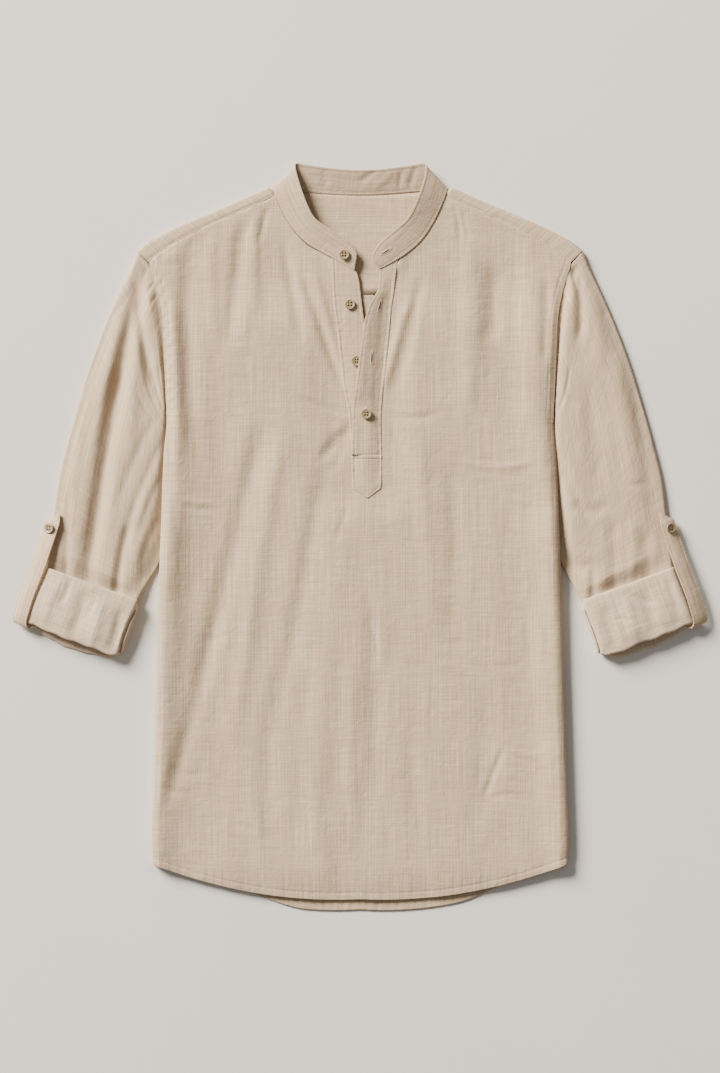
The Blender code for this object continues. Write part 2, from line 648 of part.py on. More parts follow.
def hole_cutter():
    """Four thread holes as one cutter, which the buttons share."""
    bm = bmesh.new()
    for sx in (-1, 1):
        for sy in (-1, 1):
            made = bmesh.ops.create_cone(bm, cap_ends=True, segments=8, radius1=BUTTON_HOLE_RADIUS * MM,
                                         radius2=BUTTON_HOLE_RADIUS * MM, depth=HOLE_CUTTER_LONG * MM)
            bmesh.ops.translate(bm, verts=made["verts"],
                                vec=Vector((sx, sy, 0)) * BUTTON_HOLE_OFFSET * MM)
    return bm


def build_button(name, place, lean_y):
    """Button at a place in mm, its face leaning about the Y axis."""
    piece = add_object(name, turned_disc(), HORN, 0.4, 30)
    cutter = add_object(name + "_holes", hole_cutter(), HORN, 0.4)
    cutter.hide_render = True
    cutter.display_type = "WIRE"
    for thing in (piece, cutter):
        thing.location = Vector(place) * MM
        thing.rotation_euler = (0, math.radians(lean_y), 0)
    cut = piece.modifiers.new("holes", "BOOLEAN")
    cut.operation = "DIFFERENCE"
    cut.object = cutter
    return piece


def tab_button_place(side):
    """Underside of a tab button, just clear of the tab, and its lean."""
    rows = [TAB.at(i / TAB_STEPS) for i in range(TAB.last * TAB_STEPS)]
    row = min(rows[:len(rows) // 2], key=lambda r: abs(r["down"] - TAB_BUTTON_DOWN))
    lean = math.radians(row["tilt"])
    clear = TAB_CROWN + CLOTH / 2 + BUTTON_STAND
    place = tab_place(side, row["out"] + clear * math.sin(lean), row["down"],
                      row["up"] + clear * math.cos(lean))
    return place, side * row["tilt"]


def main():
    for thing in list(bpy.data.objects):
        bpy.data.objects.remove(thing, do_unlink=True)
    build_back()
    build_yoke()
    build_front()
    build_collar()
    build_placket("placket_under", PLACKET_UNDER, UNDER_FALL)
    build_placket("placket_over", PLACKET_OVER, OVER_FALL)
    for word, side in (("right", -1), ("left", 1)):
        build_sleeve("sleeve_" + word, side)
        build_cuff("cuff_" + word, side)
        build_tab("tab_" + word, side)
        place, lean = tab_button_place(side)
        build_button("button_tab_" + word, place, lean)
    for name, place, lean in BUTTONS:
        build_button(name, place, lean)


main()
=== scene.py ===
# %% [markdown]
# # A linen band-collar shirt, laid flat
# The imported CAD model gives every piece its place. This lesson sews the visible shirt on that frame:
# thin cloth shells with hand-placed folds, rows of stitches, buttonholes and turned buttons.

# %% Load the frame
import math

import bmesh
import bpy
import numpy as np
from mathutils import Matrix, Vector, noise
from mathutils.kdtree import KDTree


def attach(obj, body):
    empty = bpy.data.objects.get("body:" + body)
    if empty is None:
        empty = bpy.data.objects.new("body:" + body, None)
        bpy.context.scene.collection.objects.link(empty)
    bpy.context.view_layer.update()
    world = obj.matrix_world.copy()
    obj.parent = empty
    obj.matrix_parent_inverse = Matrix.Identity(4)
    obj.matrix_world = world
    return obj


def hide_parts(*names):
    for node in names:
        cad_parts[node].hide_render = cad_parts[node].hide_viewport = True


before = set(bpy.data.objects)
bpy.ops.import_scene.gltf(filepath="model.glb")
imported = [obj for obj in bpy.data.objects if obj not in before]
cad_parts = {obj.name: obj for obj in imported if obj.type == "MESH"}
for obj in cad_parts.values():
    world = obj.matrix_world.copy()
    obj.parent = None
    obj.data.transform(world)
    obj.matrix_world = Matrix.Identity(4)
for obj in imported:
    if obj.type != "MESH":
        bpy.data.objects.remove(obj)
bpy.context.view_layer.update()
MM = 0.001
ROOT = "root"
SIDES = {"right": -1, "left": 1}     # the wearer's sides, and the way each one lies along x
print("nodes:", len(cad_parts))

# %% [markdown]
# ## Camera
# The shirt is seen from straight above. A long lens keeps its edges parallel, as a camera on a high
# stand does for a catalogue, and the height is chosen so that the shirt fills the frame.

# %% Overhead camera
SCENE = bpy.context.scene
CAMERA_HEIGHT = 2.79
VIEW_LENS = 85.0


def placed(name, data):
    """New object for a mesh, a lamp or a camera, linked into the scene."""
    thing = bpy.data.objects.new(name, data)
    SCENE.collection.objects.link(thing)
    return thing


camera_data = bpy.data.cameras.new("overhead_camera")
camera_data.lens = VIEW_LENS
camera_data.sensor_width = 36.0
camera_data.clip_end = 20.0
camera = placed("overhead_camera", camera_data)
camera.location = (0.0, 0.0, CAMERA_HEIGHT)
SCENE.camera = camera
print("camera height m:", CAMERA_HEIGHT)

# %% [markdown]
# ## Colours and nodes
# Colours are written as sRGB hex, as a paint chart gives them. One function turns them to the linear
# numbers that the shader wants. One function adds a node with its settings, and it fills the sockets with
# links or plain values. The same filling is used for the shader, so a finish reads as a list of facts.

# %% Colour and node helpers
def linear(hex_colour):
    """Linear RGBA from an sRGB hex colour."""
    channels = [int(hex_colour[i:i + 2], 16) / 255 for i in (1, 3, 5)]
    return (*[c / 12.92 if c <= 0.04045 else ((c + 0.055) / 1.055) ** 2.4 for c in channels], 1.0)


def fill(tree, node, **links):
    """Fill a node's sockets by name, spaces as _, with links or plain values. in_2 is the third one."""
    for key, value in links.items():
        name = key.replace("_", " ")
        socket = node.inputs[int(name[3:])] if name.startswith("in ") else node.inputs[name]
        if isinstance(value, bpy.types.NodeSocket):
            tree.links.new(value, socket)
        else:
            socket.default_value = value


def add_node(tree, kind, settings=None, **links):
    """Add a node. settings are its own properties, and links fill its sockets."""
    node = tree.nodes.new(kind)
    for key, value in (settings or {}).items():
        setattr(node, key, value)
    fill(tree, node, **links)
    return node


def new_finish(name):
    """New material with its node tree and its shader."""
    material = bpy.data.materials.new(name)
    material.use_nodes = True
    tree = material.node_tree
    return material, tree, tree.nodes["Principled BSDF"]


# %% [markdown]
# ## Woven linen: slubbed yarn
# The cloth is a slubbed linen blend in plain weave. Flax yarn is spun unevenly, so its thick places, the
# slubs, show as fine pale and dark streaks along both thread directions. They could be painted, but a
# noise drawn out along the warp and another along the weft gives them to any piece. Both lie in the
# cloth's own UV metres, so the streaks follow each cut piece.

# %% Slub streaks
SLUB_WIDTH_MM = 1.5      # real slubs are 0.6 to 1 mm wide, drawn coarser so that they show
WARP_SLUB_MM = 70.0      # how long a slub runs, down the shirt and across it
WEFT_SLUB_MM = 38.0
WEFT_SHARE = 0.65        # the weft's slubs show less than the warp's
FLAT_NOISE = {"noise_dimensions": "2D"}


def slub_streaks(tree, uv):
    """Height of the slubs, and the coordinates drawn out along the warp."""
    drawn = [add_node(tree, "ShaderNodeMapping", Vector=uv, Location=(seed, seed * 1.7, seed),
                      Scale=(1000 / across_mm, 1000 / along_mm, 1.0)).outputs[0]
             for across_mm, along_mm, seed in ((SLUB_WIDTH_MM, WARP_SLUB_MM, 3.0),
                                               (WEFT_SLUB_MM, SLUB_WIDTH_MM, 11.0))]
    warp, weft = (add_node(tree, "ShaderNodeTexNoise", FLAT_NOISE, Vector=vector, Scale=1.0, Detail=1.0,
                           Roughness=0.5).outputs[0] for vector in drawn)
    streaks = add_node(tree, "ShaderNodeMath", {"operation": "MULTIPLY_ADD"}, in_0=weft,
                       in_1=WEFT_SHARE, in_2=warp)
    return streaks.outputs[0], drawn[0]


# %% [markdown]
# ## Woven linen: colour
# Undyed flax is a warm sand colour. The streaks choose between a dark, a middle and a pale yarn. A cloudy
# noise is the uneven dye, and long patches a little rosier are where one bobbin gave way to the next.

# %% Linen colour
LINEN_MID = "#BAA181"
LINEN_PALE = "#C9B394"
LINEN_DARK = "#AB9173"
ROSY_DYE = (1.0, 0.972, 0.955, 1.0)


def yarn_colour(tree, uv, streaks, along_warp, mid, pale, dark):
    """Colour of the cloth from its streaks, cloudy dye and rosy patches."""
    tone = add_node(tree, "ShaderNodeMapRange", Value=streaks, From_Min=0.45, From_Max=1.2)
    ramp = add_node(tree, "ShaderNodeValToRGB", Fac=tone.outputs[0])
    ramp.color_ramp.elements[0].color = linear(dark)
    ramp.color_ramp.elements[1].color = linear(pale)
    ramp.color_ramp.elements.new(0.5).color = linear(mid)
    patches = add_node(tree, "ShaderNodeTexNoise", FLAT_NOISE, Vector=along_warp, Scale=0.05, Detail=3.0,
                       Roughness=0.6)
    rosy = add_node(tree, "ShaderNodeMapRange", Value=patches.outputs[0], From_Min=0.38, From_Max=0.62)
    tinted = add_node(tree, "ShaderNodeMix", {"data_type": "RGBA", "blend_type": "MULTIPLY"},
                      in_0=rosy.outputs[0], in_6=ramp.outputs[0], in_7=ROSY_DYE)
    clouds = add_node(tree, "ShaderNodeTexNoise", FLAT_NOISE, Vector=uv, Scale=14.0, Detail=3.0,
                      Roughness=0.55)
    dye = add_node(tree, "ShaderNodeMapRange", Value=clouds.outputs[0], From_Min=0.3, From_Max=0.7,
                   To_Min=0.965, To_Max=1.035)
    shade = add_node(tree, "ShaderNodeVectorMath", {"operation": "SCALE"}, in_0=tinted.outputs[2],
                     Scale=dye.outputs[0])
    return shade.outputs[0]


# %% [markdown]
# ## Woven linen: surface
# Three layers of bump lie over one another: the slubs, the fine grid of threads passing over and under,
# and the small crumples that linen keeps after washing. The grid is two crossed waves whose pitch is the
# thread spacing. Larger folds are never bump: they are modelled.

# %% Linen surface
WEAVE_PITCH_MM = 0.64    # real threads lie 0.55 mm apart, drawn a little coarser so that they show


def cloth_normal(tree, uv, streaks):
    """Normal of the cloth with slubs, weave and small crumples."""
    waves = [add_node(tree, "ShaderNodeTexWave", {"bands_direction": direction}, Vector=uv,
                      Scale=2 * math.pi * 1000 / (20 * WEAVE_PITCH_MM), Distortion=1.6, Detail=2.0,
                      Detail_Scale=3.0).outputs["Fac"] for direction in "XY"]
    weave = add_node(tree, "ShaderNodeMath", {"operation": "MULTIPLY"}, in_0=waves[0], in_1=waves[1])
    crumples = add_node(tree, "ShaderNodeTexNoise", FLAT_NOISE, Vector=uv, Scale=95.0, Detail=4.0,
                        Roughness=0.62, Distortion=0.4)
    slub_bump = add_node(tree, "ShaderNodeBump", Height=streaks, Strength=0.35, Distance=0.0004)
    weave_bump = add_node(tree, "ShaderNodeBump", Height=weave.outputs[0], Strength=0.12,
                          Distance=0.00015, Normal=slub_bump.outputs[0])
    crumple_bump = add_node(tree, "ShaderNodeBump", Height=crumples.outputs[0], Strength=0.5,
                            Distance=0.0010, Normal=weave_bump.outputs[0])
    return crumple_bump.outputs[0]


# %% [markdown]
# ## Woven linen: the finish
# Dry flax is matt, so the roughness is high and the thick yarns are only a little smoother where wear
# polishes them. A trace of sheen is the down of loose fibres that catches light at grazing angles.

# %% Woven linen material
def woven_linen(name="woven_linen", mid=LINEN_MID, pale=LINEN_PALE, dark=LINEN_DARK):
    material, tree, shader = new_finish(name)
    uv = add_node(tree, "ShaderNodeUVMap", {"uv_map": "grain"}).outputs[0]
    streaks, along_warp = slub_streaks(tree, uv)
    rough = add_node(tree, "ShaderNodeMapRange", Value=streaks, From_Min=0.5, From_Max=1.15,
                     To_Min=0.92, To_Max=0.8)
    fill(tree, shader, Base_Color=yarn_colour(tree, uv, streaks, along_warp, mid, pale, dark),
         Normal=cloth_normal(tree, uv, streaks), Roughness=rough.outputs[0], IOR=1.5,
         Specular_IOR_Level=0.25, Sheen_Weight=0.06, Sheen_Roughness=0.5)
    print(name, "nodes:", len(tree.nodes))
    return material


LINEN = woven_linen()

# %% [markdown]
# ## Sewing thread
# The thread is core-spun polyester dyed to the cloth. It is a little paler and shinier than the linen, so
# stitches catch the eye as fine light dashes, and its twist is a fine slanting wave with painted shade in
# its hollows. The buttons are sewn on with a near-black brown one: partly the thread's own colour, partly
# painted shade down the buttons' holes.

# %% Sewing thread material
# Painted shade: the hollows between the plies are drawn darker by this factor.
PLY_HOLLOW_PAINTED_SHADE = 0.86       # how dark the hollows between the plies are


def sewing_thread(name, colour):
    material, tree, shader = new_finish(name)
    coords = add_node(tree, "ShaderNodeTexCoord").outputs["Object"]
    twist = add_node(tree, "ShaderNodeTexWave", {"bands_direction": "DIAGONAL"}, Vector=coords,
                     Scale=900.0, Distortion=0.5).outputs["Fac"]
    base = linear(colour)
    # Painted shade: the twist's hollows mix toward a darker copy of the thread's colour.
    tone = add_node(tree, "ShaderNodeMix", {"data_type": "RGBA"}, in_0=twist, in_6=base,
                    in_7=(*[c * PLY_HOLLOW_PAINTED_SHADE for c in base[:3]], 1.0))
    bump = add_node(tree, "ShaderNodeBump", Height=twist, Strength=0.3, Distance=0.0001)
    fill(tree, shader, Base_Color=tone.outputs[2], Normal=bump.outputs[0], Roughness=0.55,
         Sheen_Weight=0.1)
    print(name, "nodes:", len(tree.nodes))
    return material


THREAD = sewing_thread("sewing_thread", "#CDB598")
# The button thread's near-black brown is partly its own colour, partly painted shade down the holes.
BUTTON_THREAD_AND_HOLE_SHADE = sewing_thread("button_thread_and_hole_shade", "#33281D")

# %% [markdown]
# ## Horn-look resin
# The buttons are moulded polyester resin made to look like horn: warm khaki brown with soft darker swirls.
# They are tumbled with pegs and wax, which leaves a satin surface with a fine grain and a soft highlight.

# %% Horn-look resin material
HORN_DARK = "#7A6443"
HORN_PALE = "#A99069"


def horn_resin():
    material, tree, shader = new_finish("horn_look_resin")
    coords = add_node(tree, "ShaderNodeTexCoord").outputs["Object"]
    swirl = add_node(tree, "ShaderNodeTexNoise", Vector=coords, Scale=230.0, Detail=4.0, Distortion=1.6)
    ramp = add_node(tree, "ShaderNodeValToRGB", Fac=swirl.outputs[0])
    for stop, position, colour in zip(ramp.color_ramp.elements, (0.3, 0.72), (HORN_DARK, HORN_PALE)):
        stop.position = position
        stop.color = linear(colour)
    grain = add_node(tree, "ShaderNodeTexNoise", Vector=coords, Scale=1600.0, Detail=2.0).outputs[0]
    rough = add_node(tree, "ShaderNodeMapRange", Value=grain, From_Min=0.3, From_Max=0.7, To_Min=0.3,
                     To_Max=0.46)
    bump = add_node(tree, "ShaderNodeBump", Height=grain, Strength=0.15, Distance=0.00005)
    fill(tree, shader, Base_Color=ramp.outputs[0], Roughness=rough.outputs[0], Normal=bump.outputs[0],
         IOR=1.53)
    return material


HORN = horn_resin()
print("horn nodes:", len(HORN.node_tree.nodes))

# %% [markdown]
# ## Plaster table
# A pale plaster table-top is matt and almost white, so it bounces light into the shadows. One large square
# is enough, because the camera sees only its middle, and a faint noise keeps it from looking flat.

# %% Table top
TABLE_COLOUR = "#DAD3C6"
TABLE_HALF_WIDTH = 4.0
TABLE_Z = -0.0004        # just under the shirt, so that the two never share a plane

table_material, tree, shader = new_finish("pale_plaster")
table_coords = add_node(tree, "ShaderNodeTexCoord").outputs["Object"]
trowelled = add_node(tree, "ShaderNodeTexNoise", Vector=table_coords, Scale=5.0, Detail=4.0)
tone = add_node(tree, "ShaderNodeMapRange", Value=trowelled.outputs[0], From_Min=0.3, From_Max=0.7,
                To_Min=0.985, To_Max=1.015)
colour = add_node(tree, "ShaderNodeVectorMath", {"operation": "SCALE"}, in_0=linear(TABLE_COLOUR)[:3],
                  Scale=tone.outputs[0])
fill(tree, shader, Base_Color=colour.outputs[0], Roughness=0.9, Specular_IOR_Level=0.1)

table_mesh = bpy.data.meshes.new("table_top")
table_bm = bmesh.new()
bmesh.ops.create_grid(table_bm, x_segments=1, y_segments=1, size=TABLE_HALF_WIDTH)
table_bm.to_mesh(table_mesh)
table_bm.free()
table_mesh.materials.append(table_material)
table_top = placed("table_top", table_mesh)
table_top.location.z = TABLE_Z
print("table width m:", 2 * TABLE_HALF_WIDTH)

# %% [markdown]
# ## Light
# One very large round lamp stands high at the upper left, like a window, so the shadows are soft and fall
# to the lower right. A dim even sky fills them.

# %% Lamp and sky
LAMP_PLACE = Vector((-6.7, 6.3, 4.5))
LAMP_SIZE = 4.4
LAMP_POWER = 4650.0
LAMP_COLOUR = (1.0, 0.985, 0.96)
SKY_COLOUR = (0.97, 0.985, 1.0, 1.0)
SKY_STRENGTH = 0.30

lamp_data = bpy.data.lights.new("window_light", "AREA")
lamp_data.shape = "DISK"
lamp_data.size = LAMP_SIZE
lamp_data.energy = LAMP_POWER
lamp_data.color = LAMP_COLOUR
lamp = placed("window_light", lamp_data)
lamp.location = LAMP_PLACE
lamp.rotation_euler = (-LAMP_PLACE).to_track_quat("-Z", "Y").to_euler()

world = bpy.data.worlds.new("studio_sky")
world.use_nodes = True
fill(world.node_tree, world.node_tree.nodes["Background"], Color=SKY_COLOUR, Strength=SKY_STRENGTH)
SCENE.world = world
print("lamp distance m:", round(LAMP_PLACE.length, 2))

# %% [markdown]
# ## Reading the pattern tables
# The sizes of the cut pieces are short tables in millimetres, a row for each section of the shirt. A
# smooth curve that never overshoots runs through each column, so one table serves a coarse or a fine grid.

# %% Table reader
STEPS_PER_ROW = 24


def smooth_column(values):
    """Dense samples of a monotone curve through the values of a column."""
    values = np.asarray(values, float)
    steps = np.diff(values)
    slopes = np.zeros(len(values))
    slopes[0], slopes[-1] = steps[0], steps[-1]
    for i in range(1, len(values) - 1):
        if steps[i - 1] * steps[i] > 0:
            slopes[i] = 2 * steps[i - 1] * steps[i] / (steps[i - 1] + steps[i])
    t = np.arange(STEPS_PER_ROW) / STEPS_PER_ROW
    dense = [values[i] * (1 + 2 * t) * (1 - t) ** 2 + slopes[i] * t * (1 - t) ** 2
             + values[i + 1] * t * t * (3 - 2 * t) + slopes[i + 1] * t * t * (t - 1)
             for i in range(len(steps))]
    return np.append(np.concatenate(dense), values[-1])


class Pattern:
    """Rows with named columns. column(name, places) reads one at places counted in rows."""

    def __init__(self, columns, rows):
        self.last = len(rows) - 1
        self.dense = {name: smooth_column([row[k] for row in rows])
                      for k, name in enumerate(columns.split())}

    def column(self, name, places):
        return np.interp(np.asarray(places) * STEPS_PER_ROW, np.arange(self.last * STEPS_PER_ROW + 1),
                         self.dense[name])

    def columns(self, names, places):
        """Several columns at once, each upright so that it spreads across a grid."""
        return (self.column(name, places)[:, None] for name in names.split())

    def line(self, names, places):
        """Points whose coordinates are the named columns."""
        return np.stack([self.column(name, places) for name in names.split()], axis=1)

    def places_for(self, name, values):
        """Places where a rising column has the given values."""
        return np.interp(values, self.dense[name], np.arange(len(self.dense[name])) / STEPS_PER_ROW)


# %% [markdown]
# ## Shaping curves
# Four small curves shape all the cloth: a soft step, a bell for grooves and swells, the round shoulder of
# a folded edge, and the spacing of a grid that is finer beside a seam.

# %% Shaping curves
def ease(t):
    """Soft step from 0 to 1."""
    t = np.clip(t, 0.0, 1.0)
    return t * t * (3 - 2 * t)


def bell(distance, width):
    """Soft hump, 1 in the middle."""
    return np.exp(-(distance / width) ** 2)


def rim(distance, radius):
    """Height share of a rounded edge at a distance inside it."""
    return np.sqrt(np.maximum(0, 1 - (1 - np.clip(distance / radius, 0, 1)) ** 2))


def spaced(length, pitch, marks=(), close=(0.8, 1.8)):
    """Rising distances from 0 to length about a pitch apart, with more about each mark."""
    places = set(np.round(np.linspace(0, length, max(2, int(round(length / pitch)) + 1)), 3))
    for mark in marks:
        places = {p for p in places if abs(p - mark) > max(close) + 0.4 or p in (0.0, length)}
        places |= {mark} | {mark + sign * gap for gap in close for sign in (-1, 1)}
    return np.array(sorted(p for p in places if 0 <= p <= length))


# %% [markdown]
# ## Folds
# Laid linen keeps soft troughs where it was carried and folded, and small sharp creases where it was
# pressed. A cloth simulation would give folds, but not these ones, so each is drawn: a curve through
# three points with a width and a depth, in millimetres. It is a trough with a low swell on both
# sides, which dies away at its ends. A negative depth is a ridge.

# %% Fold function
SHARP_WIDTH = 5          # folds narrower than this are creases
SHARP_SHARE = 0.85       # and stay a little shallower
FOLD_STEPS = 26


def folds_at(x, y, folds):
    """Sum of the folds at points x, y (mm). Troughs are negative heights."""
    height = np.zeros_like(x)
    t = np.linspace(0, 1, FOLD_STEPS)
    for x_a, y_a, x_m, y_m, x_b, y_b, width, depth in folds:
        depth = depth * (SHARP_SHARE if width < SHARP_WIDTH else 1.0)
        bend_x, bend_y = 2 * x_m - (x_a + x_b) / 2, 2 * y_m - (y_a + y_b) / 2
        path_x = x_a * (1 - t) ** 2 + bend_x * 2 * t * (1 - t) + x_b * t * t
        path_y = y_a * (1 - t) ** 2 + bend_y * 2 * t * (1 - t) + y_b * t * t
        reach = 3.2 * width
        near = ((x > path_x.min() - reach) & (x < path_x.max() + reach)
                & (y > path_y.min() - reach) & (y < path_y.max() + reach))
        if not near.any():
            continue
        px, py = x[near], y[near]
        best = np.full(px.shape, 1e9)
        along = np.zeros(px.shape)
        for k in range(FOLD_STEPS - 1):
            dx, dy = path_x[k + 1] - path_x[k], path_y[k + 1] - path_y[k]
            share = np.clip(((px - path_x[k]) * dx + (py - path_y[k]) * dy) / (dx * dx + dy * dy), 0, 1)
            gap = np.hypot(px - path_x[k] - share * dx, py - path_y[k] - share * dy)
            closer = gap < best
            best[closer] = gap[closer]
            along[closer] = t[k] + share[closer] * (t[1] - t[0])
        taper = ease(np.minimum(along, 1 - along) / 0.28 + 0.15)
        height[near] -= depth * taper * (1 - 0.75 * (best / width) ** 2) * bell(best, width)
    return height


def crumple(x, y, scale_x, scale_y, seed):
    """Small uneven noise, from -1 to 1, at points in mm."""
    flat = [noise.noise(Vector((a / scale_x, b / scale_y, seed))) for a, b in zip(x.ravel(), y.ravel())]
    return np.array(flat).reshape(x.shape)


# %% [markdown]
# ## Cloth shells
# A cut piece is a grid of points on the middle of the cloth, then a Solidify modifier gives it the two
# sides and the turned edge of real linen, 0.8 mm through. UVs are metres along the grain, so the weave has
# one scale on every piece. The same grid later carries the stitches.

# %% Grain and cloth mesh
LINEN_WALL = 0.8
WELD = 0.02              # points closer than this are one


def flat_grain(points):
    """UV metres straight from a flat cut piece."""
    return points[:, :, :2] * MM


def grain_of(points):
    """UV metres across the columns and along the rows of a grid."""
    across = np.linalg.norm(np.diff(points, axis=1), axis=2)
    along = np.linalg.norm(np.diff(points, axis=0), axis=2)
    u = np.concatenate([np.zeros((points.shape[0], 1)), np.cumsum(across, axis=1)], axis=1)
    v = np.concatenate([np.zeros((1, points.shape[1])), np.cumsum(along, axis=0)], axis=0)
    u -= u.mean(axis=1, keepdims=True)
    return np.stack([u, v.mean(axis=1, keepdims=True) + 0 * v], axis=2) * MM


def cloth_mesh(name, grids):
    """Welded mesh of grids of points in mm. grids: (points, uv)."""
    verts, faces, uvs = [], [], []
    for points, uv in grids:
        rows, columns = points.shape[:2]
        first = len(verts)
        verts += [tuple(p) for p in (points.reshape(-1, 3) * MM).tolist()]
        flat_uv = uv.reshape(-1, 2).tolist()
        for i in range(rows - 1):
            for low in range(i * columns, (i + 1) * columns - 1):
                corners = (low, low + 1, low + columns + 1, low + columns)
                faces.append([first + c for c in corners])
                uvs += [flat_uv[c] for c in corners]
    mesh = bpy.data.meshes.new(name)
    mesh.from_pydata(verts, [], faces)
    layer = mesh.uv_layers.new(name="grain")
    layer.data.foreach_set("uv", np.array(uvs, np.float32).ravel())
    bm = bmesh.new()
    bm.from_mesh(mesh)
    bmesh.ops.remove_doubles(bm, verts=bm.verts, dist=WELD * MM)
    bmesh.ops.recalc_face_normals(bm, faces=bm.faces)
    bm.to_mesh(mesh)
    bm.free()
    mesh.shade_smooth()
    return mesh


# %% [markdown]
# ## From grid to piece
# One function finishes every cloth piece in the same way: its material, its wall, the body that it rides
# on, and the plain solid that it stands for.

# %% Panel builder
pieces = {}


def build_panel(name, grids, node, wall=LINEN_WALL, material=LINEN):
    """Cloth piece from (points, uv) grids, in place of a CAD node. wall is its thickness in mm."""
    mesh = cloth_mesh(name, grids)
    mesh.materials.append(material)
    piece = placed(name, mesh)
    shell = piece.modifiers.new("cloth_wall", "SOLIDIFY")
    shell.thickness = wall * MM
    shell.offset = 0.0
    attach(piece, ROOT)
    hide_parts(node)
    pieces[name] = piece
    print(name, "cloth quads:", len(mesh.polygons))


# %% [markdown]
# ## The front: its cut
# One piece from shoulder seam to curved hem, with the neck cut out and a slot for the placket. Each row of
# the table runs from side seam to centre. The heights make the side folds stand round and full. Between
# them the front hangs a few millimetres above the back.

# %% Front pattern
FRONT = Pattern("side_x side_y right_x left_x mid_y edge puff field mid sag arch", (
    (228.5, -360, 0, 0, -399, 2.7, 3.6, 4.0, 4.3, 12.7, 0),
    (229.3, -335, 0, 0, -352, 3.0, 4.8, 3.4, 3.4, 6.0, 0),
    (227.3, -270, 0, 0, -280, 3.1, 5.2, 2.7, 2.7, 2.0, 0),
    (225.0, -200, 0, 0, -205, 3.1, 5.2, 2.7, 2.7, 0, 0),
    (222.8, -130, 0, 0, -130, 3.1, 5.2, 2.7, 2.7, 0, 0),
    (221.6, -75, 0, 0, -72, 3.3, 5.4, 2.7, 2.7, 0, 0),
    (220.3, -32, 0, 0, -30, 6.1, 7.0, 2.8, 2.8, 0, 0),
    (218.3, 15, 4, 4, 14, 6.1, 7.2, 3.0, 3.0, 0, 0),
    (217.2, 50, 7, 7, 48, 6.1, 7.2, 3.0, 3.4, 0, 0),
    (215.4, 92, -5, 19.5, 68, 6.1, 7.2, 3.2, 4.0, 0, 0),
    (212.5, 128, -8.5, 19.5, 122, 6.1, 7.2, 3.4, 4.2, 0, 0),
    (214.0, 165, -15, 21.5, 165, 5.4, 6.4, 3.6, 4.2, 0, 0),
    (215.6, 205, -19, 26, 205, 5.2, 6.4, 3.8, 4.2, 0, 0),
    (217.2, 238, -23, 29.5, 245, 5.2, 6.2, 4.0, 4.2, 0, 0),
    (221.0, 262, -26.5, 33.5, 275, 5.2, 6.0, 4.2, 4.3, 0, 0),
    (226.0, 281, -29.5, 43, 303.5, 5.2, 6.0, 4.6, 4.5, 0, 1.5),
    (229.3, 291, -57, 63, 319.5, 5.3, 5.9, 5.0, 4.7, 0, 3.0),
    (231.0, 297, -79, 82, 346, 5.4, 5.8, 5.4, 4.9, 0, 5.0),
    (231.5, 300.5, -93, 93, 375, 5.4, 5.6, 5.6, 5.2, 0, 6.0),
))
SLOT_PLACE = 8           # row where the two halves part for the placket
SIDE_ROUND = 1.2         # radius of the side fold
PUFF_REACH = 12.0        # how far inside its edge the side fold stands highest
EDGE_CLOSES = 0.7        # the side fold's edge bends down to meet the back
ARCH_PEAK = 6.75         # turns the arch's height into a factor of share ** 2 * (1 - share)
print("front rows:", FRONT.last + 1)

# %% [markdown]
# ## The front: its folds
# The folds of a laid shirt tell how it was handled. Long soft bands hang from the shoulders, rays pull
# from the collar and the placket, gathers stand under the yoke, and a few pressed creases cross low down.
# Each row gives a start, a middle and an end as x and y, then a width and a depth.

# %% Front folds
LONG_BANDS = (
    (-186, 342, -189, 220, -180, 60, 13, 1.5),
    (-206, 262, -203, 180, -200, 30, 8, -0.9),
    (-128, 352, -135, 290, -144, 205, 11, 1.6),
    (-112, 358, -118, 300, -112, 240, 8, -0.7),
    (-160, 345, -164, 280, -158, 200, 9, -0.8),
    (-104, 132, -138, -10, -180, -180, 14, 2.3),
    (-150, -60, -185, -200, -220, -318, 11, 1.7),
    (-84, 110, -112, -30, -140, -236, 12, -1.6),
    (-36, 94, -60, -40, -78, -150, 13, 1.7),
    (-70, -110, -102, -250, -86, -385, 13, 1.4),
    (-20, 20, -48, -290, -20, -372, 16, -1.4),
    (8, -20, 14, -160, 16, -300, 11, 1.3),
    (-8, -120, -10, -220, -6, -330, 9, -0.9),
    (92, 120, 106, -10, 98, -110, 13, 1.4),
    (66, 120, 72, 0, 78, -100, 11, -1.0),
    (148, 300, 146, 250, 142, 210, 12, 1.3),
    (184, 300, 186, 200, 188, 110, 14, -1.2),
    (206, 290, 204, 230, 203, 190, 7, 1.2),
    (120, 330, 122, 230, 118, 120, 14, -0.8),
    (160, 60, 168, -80, 172, -200, 16, 0.7),
    (128, -150, 140, -240, 120, -340, 14, 0.9),
    (198, -60, 202, -190, 206, -320, 10, -0.9),
    (60, -160, 58, -260, 66, -370, 12, 0.8),
)
PULLED_RAYS = (
    (-66, 298, -42, 228, -14, 152, 6.5, 1.1),
    (-54, 302, -36, 240, -22, 180, 5, -0.5),
    (-84, 330, -74, 270, -62, 210, 7, 0.9),
    (54, 262, 40, 215, 26, 156, 6, -1.2),
    (68, 290, 57, 230, 40, 160, 7, 0.8),
    (-6, 124, -26, 104, -44, 84, 7.5, 1.5),
    (-10, 108, -22, 92, -30, 70, 6, 0.9),
    (-12, 140, -40, 142, -72, 156, 5.0, 0.4),
    (-12, 128, -20, 126, -30, 128, 2.6, 0.7),
    (-12, 120, -20, 116, -30, 114, 2.4, -0.5),
    (33, 118, 42, 104, 51, 92, 4, 1.0),
    (35, 134, 62, 130, 92, 136, 5, 0.6),
    (-12, 34, -20, 14, -30, -14, 3.5, 1.0),
)
